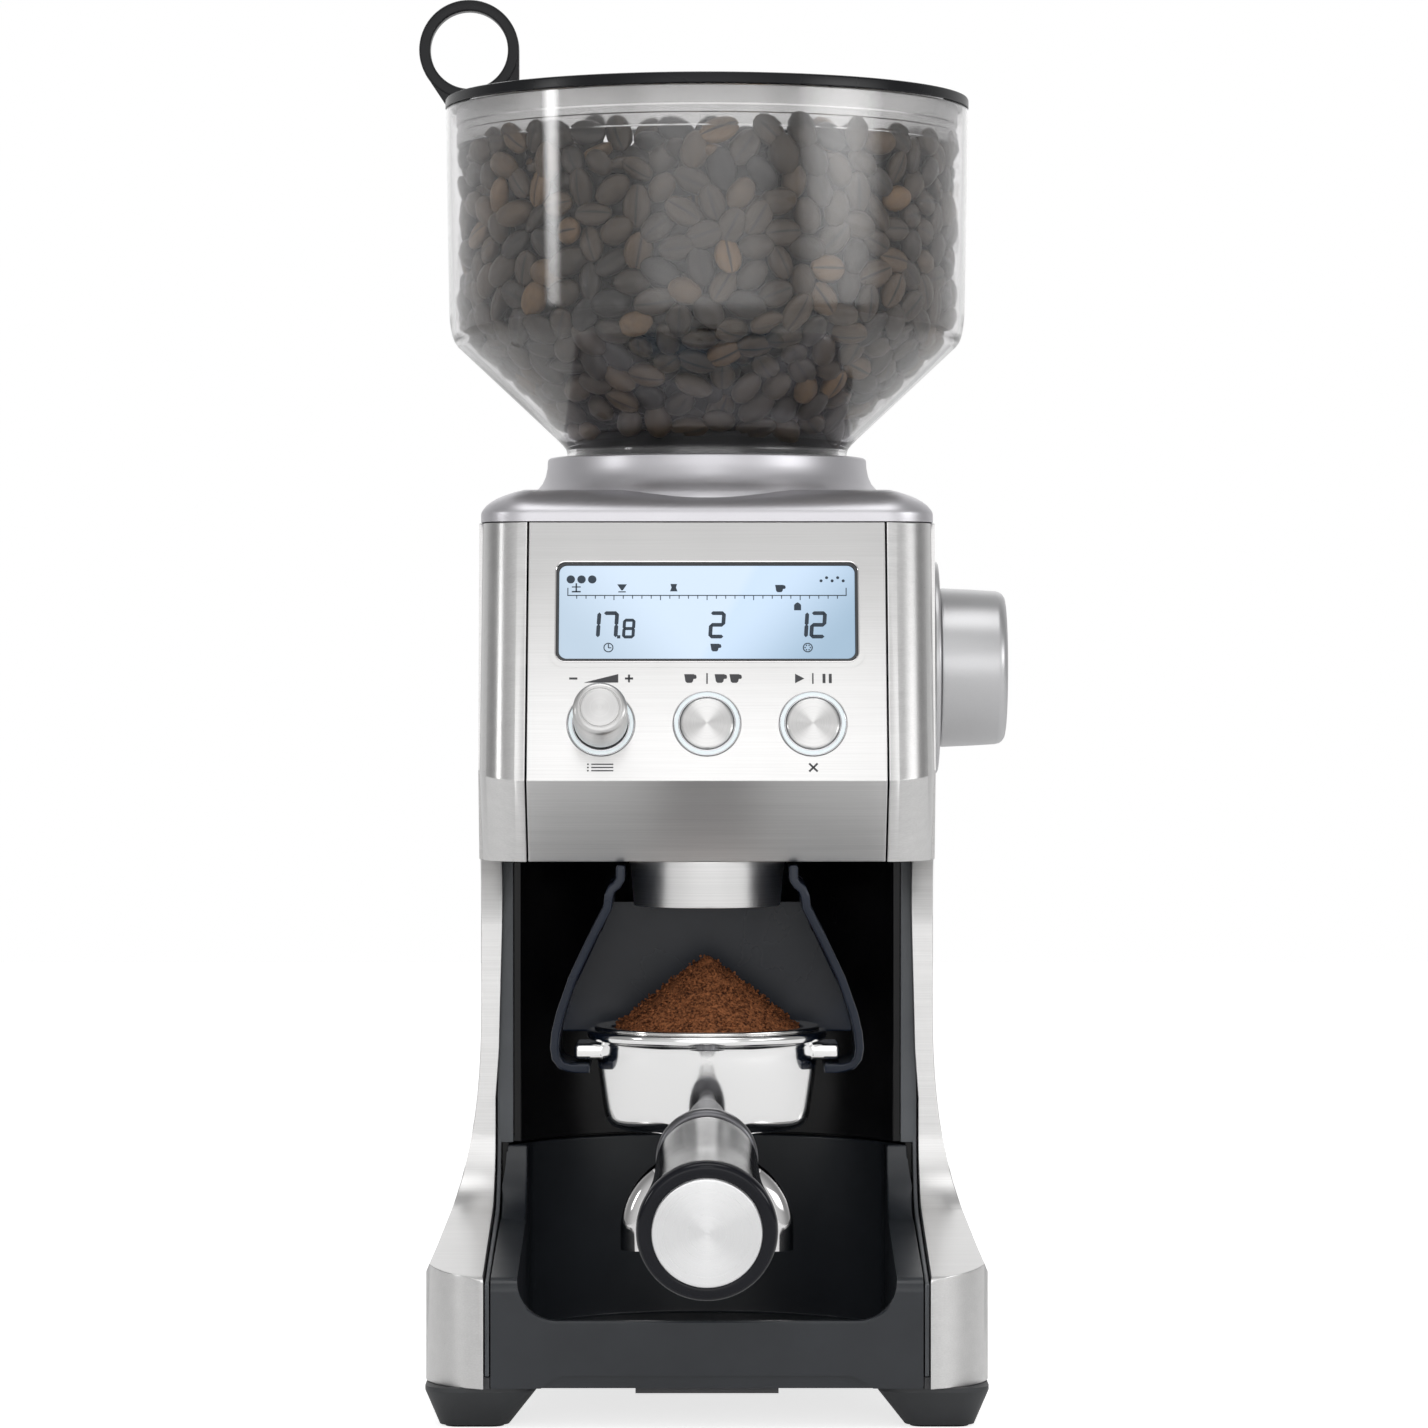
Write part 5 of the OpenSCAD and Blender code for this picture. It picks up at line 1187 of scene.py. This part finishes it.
NECK_Y, NECK_Z, NECK_DROP = -62, 80.8, 19
neck_place = BURR @ shift(0, NECK_Y, NECK_Z) @ Matrix.Rotation(radians(90 + NECK_DROP), 4, "X")
neck = [(0, 0.3), (4.3, 0.3), (4.9, 6), (5.5, 13), (6.2, 20), (6.9, 26), (7.3, 29.8), (0, 29.8)]
# The neck is chrome painted dark grey: painted shade for the dark bay it mirrors.
neck_chrome_painted_shade = smooth_metal("neck_chrome_painted_shade", (0.20, 0.20, 0.21), 0.38)
on_holder("holder_neck", neck, neck_place, 72, neck_chrome_painted_shade, "holder_chrome", sharp=50)

bead = [(8.6, -3), (12.0, -2.95), (12.9, -2.6), (13.4, -1.8), (13.6, -0.6), (13.6, 0.6), (13.45, 1.4),
        (13.0, 2.0), (12.3, 2.25), (11.7, 2.1), (11.3, 1.6), (8.6, 1.6)]
# The ferrule's outer ring is chrome painted dark grey: painted shade for the dark reflection it shows.
ring_chrome_painted_shade = smooth_metal("ring_chrome_painted_shade", (0.16, 0.16, 0.17), 0.28)
on_holder("ferrule_ring", bead, HANDLE, 96, ring_chrome_painted_shade, "holder_chrome", ("handle_ferrule",), 50)
sleeve = [(0, -2.9), (8.5, -2.9), (8.5, 1.7), (11.4, 1.7), (11.75, 2.15), (11.5, 2.5), (10.7, 3.4),
          (10.1, 4.6), (9.9, 5.8), (10.2, 7.2), (10.9, 8.6), (12.0, 9.9), (13.0, 10.7), (13.3, 10.85),
          (0, 10.9)]
on_holder("ferrule", sleeve, HANDLE, 96, chrome, "holder_chrome", ("handle_ferrule",), 50)

grip = [(0, 4.8), (12.8, 4.8), (13.3, 5.1), (13.5, 5.8), (13.55, 12), (13.8, 24), (14.3, 38), (15.0, 50),
        (15.9, 62), (16.8, 72), (17.4, 78), (17.7, 81.2), (17.68, 82.2), (17.4, 83.1), (16.9, 83.7),
        (16.2, 84.0), (15.2, 84.0), (14.4, 83.9), (14.0, 83.7), (0, 83.7)]
on_holder("grip", grip, GRIP, 128, grip_plastic, "grip_plastic", ("handle_grip",))
end = [(0, 83.8), (13.8, 83.8), (13.8, 84.6), (13.6, 85.0), (13.1, 85.15), (9, 85.22), (0, 85.24)]
disc_steel = turned_metal("disc_steel", GRIP, (0.90, 0.90, 0.905), (0.93, 0.93, 0.935), 0.30, 0.95, 6000.0)
on_holder("grip_disc", end, GRIP, 128, disc_steel, "end_steel", ("handle_end",))
print("grip radius:", max(grip)[0])

# %% [markdown]
# A heap of ground coffee stands in the basket. A heap of grains is a cone whose slope is the angle at which
# they start to slide, with a rounded tip. The cone is turned, roughened with noise along its normals, and
# strewn with small grains, because at this size single grains can be seen. A lathe doesn't always hand out
# its faces in one order, so they are sorted before the draw: the same grains then fall on every run.

# %% Ground coffee
coffee, tree, shader, where = new_material("ground_coffee")
fleck = mottled(tree, where, 1300.0, 3.0)
speckle = plus(tree, times(tree, fleck, 0.75), times(tree, mottled(tree, where, 260.0, 2.0), 0.25))
tint(tree, shader, remap(tree, speckle, 0, 1, 0.37, 0.62), (0.050, 0.016, 0.007), (0.38, 0.140, 0.055))
steady(shader, Roughness=0.9, Specular_IOR_Level=0.2)
bump(tree, shader, fleck, 0.8, 0.0006)

TIP_Z, SLOPE = 120.0, 0.80
ROUGH_FROM, GRAINS_FROM = 0.1032, 0.1034
slope_line = [(0, 121.0), (0.8, 120.8), (1.8, TIP_Z)] + [(1.8 + k, TIP_Z - SLOPE * k) for k in range(1, 23)]
slope_line += [(25.2, 101.4), (25.75, 100.9), (25.8, 98), (0, 98)]


def seat(face):
    """The ring that a face belongs to, and its direction from the heap's axis."""
    x, y, z = face.calc_center_median() - HOLDER.translation
    return int(hypot(x, y) / MM), atan2(y, x)


bm = bmesh.new()
lathe(bm, slope_line, HOLDER, 96)
bmesh.ops.recalc_face_normals(bm, faces=bm.faces)
bm.normal_update()
in_order = sorted(bm.faces, key=seat)
for v in bm.verts:
    if v.co.z > ROUGH_FROM:
        rough = noise.noise(v.co * 420) * 0.45 + noise.noise(v.co * 1300) * 0.25
        v.co += v.normal * rough * MM
heap_faces = [f for f in in_order if f.calc_center_median().z > GRAINS_FROM]

grain = bpy.data.meshes.new("grain")
grain_bm = bmesh.new()
bmesh.ops.create_icosphere(grain_bm, subdivisions=1, radius=1)
grain_bm.to_mesh(grain)
grain_bm.free()
weights = [f.calc_area() for f in heap_faces]
places = [(f.calc_center_median(), f.normal.copy()) for f in heap_faces]
strewn = random.Random(11)
for centre, normal in strewn.choices(places, weights, k=2600):
    size = strewn.uniform(0.22, 0.62) * MM
    shove = Vector([strewn.uniform(-0.7, 0.7) * MM for k in range(3)])
    angle = strewn.uniform(0, pi)
    axis = Vector([strewn.gauss(0, 1) for k in range(3)]).normalized()
    turn = Matrix.Rotation(angle, 4, axis)
    stretch = Matrix.Diagonal((size, size * strewn.uniform(0.6, 1), size * strewn.uniform(0.5, 0.9), 1))
    one_grain = grain.copy()
    one_grain.transform(Matrix.Translation(centre + shove + normal * size * 0.2) @ turn @ stretch)
    bm.from_mesh(one_grain)
    bpy.data.meshes.remove(one_grain)
finish("coffee_heap", bm, coffee, "filter_holder", clean=False, sharp=40)
print("faces strewn with grains:", len(heap_faces))

# %% [markdown]
# What the case hides keeps its CAD shape and gets its finish: the drive, the burrs, the boards and the
# screws. The materials come from the same recipes, each with the numbers of its own stuff.

# %% Inside
housing_grey = plastic("housing_grey", (0.07, 0.075, 0.08), 0.45)
ground_steel = smooth_metal("ground_steel", (0.60, 0.60, 0.61), 0.25)
hidden = [
    (rear_plastic, "base_plate"),
    (pad_rubber, "foot_pads"),
    (plastic("module_white", (0.62, 0.64, 0.66), 0.5), "display_module"),
    (plastic("board_green", (0.012, 0.085, 0.032), 0.35), "control_board", "power_board"),
    (plastic("switch_black", (0.02, 0.021, 0.025), 0.4), "microswitches"),
    (plastic("mount_black", (0.02, 0.02, 0.02), 0.7), "motor_mounts"),
    (satin_paint("motor_grey", (0.20, 0.21, 0.22), 0.45), "motor_case"),
    (smooth_metal("brass", (0.68, 0.48, 0.20), 0.28), "motor_pinion"),
    (plastic("gear_white", (0.70, 0.68, 0.60), 0.42), "drive_gear", "idler_gear"),
    (smooth_metal("bronze", (0.55, 0.38, 0.19), 0.35), "shaft_bearings"),
    (smooth_metal("burr_metal", (0.52, 0.52, 0.53), 0.3), "ring_burr", "cone_burr"),
    (plastic("ring_yellow", (0.50, 0.33, 0.10), 0.45), "adjusting_ring"),
    (ground_steel, "dial_shaft", "burr_shaft", "motor_shaft"),
    (housing_grey, "gearbox_housing", "gearbox_cover", "grinding_chamber"),
    (housing_grey, "grounds_chute", "impeller", "burr_carrier"),
    (plated, "case_screws", "paddle_pin", "encoder", "encoder_shaft"),
]
for mat, *names in hidden:
    for name in names:
        nodes[name].data.materials.clear()
        nodes[name].data.materials.append(mat)
print("hidden nodes:", sum(len(row) - 1 for row in hidden), "materials:", len(bpy.data.materials))
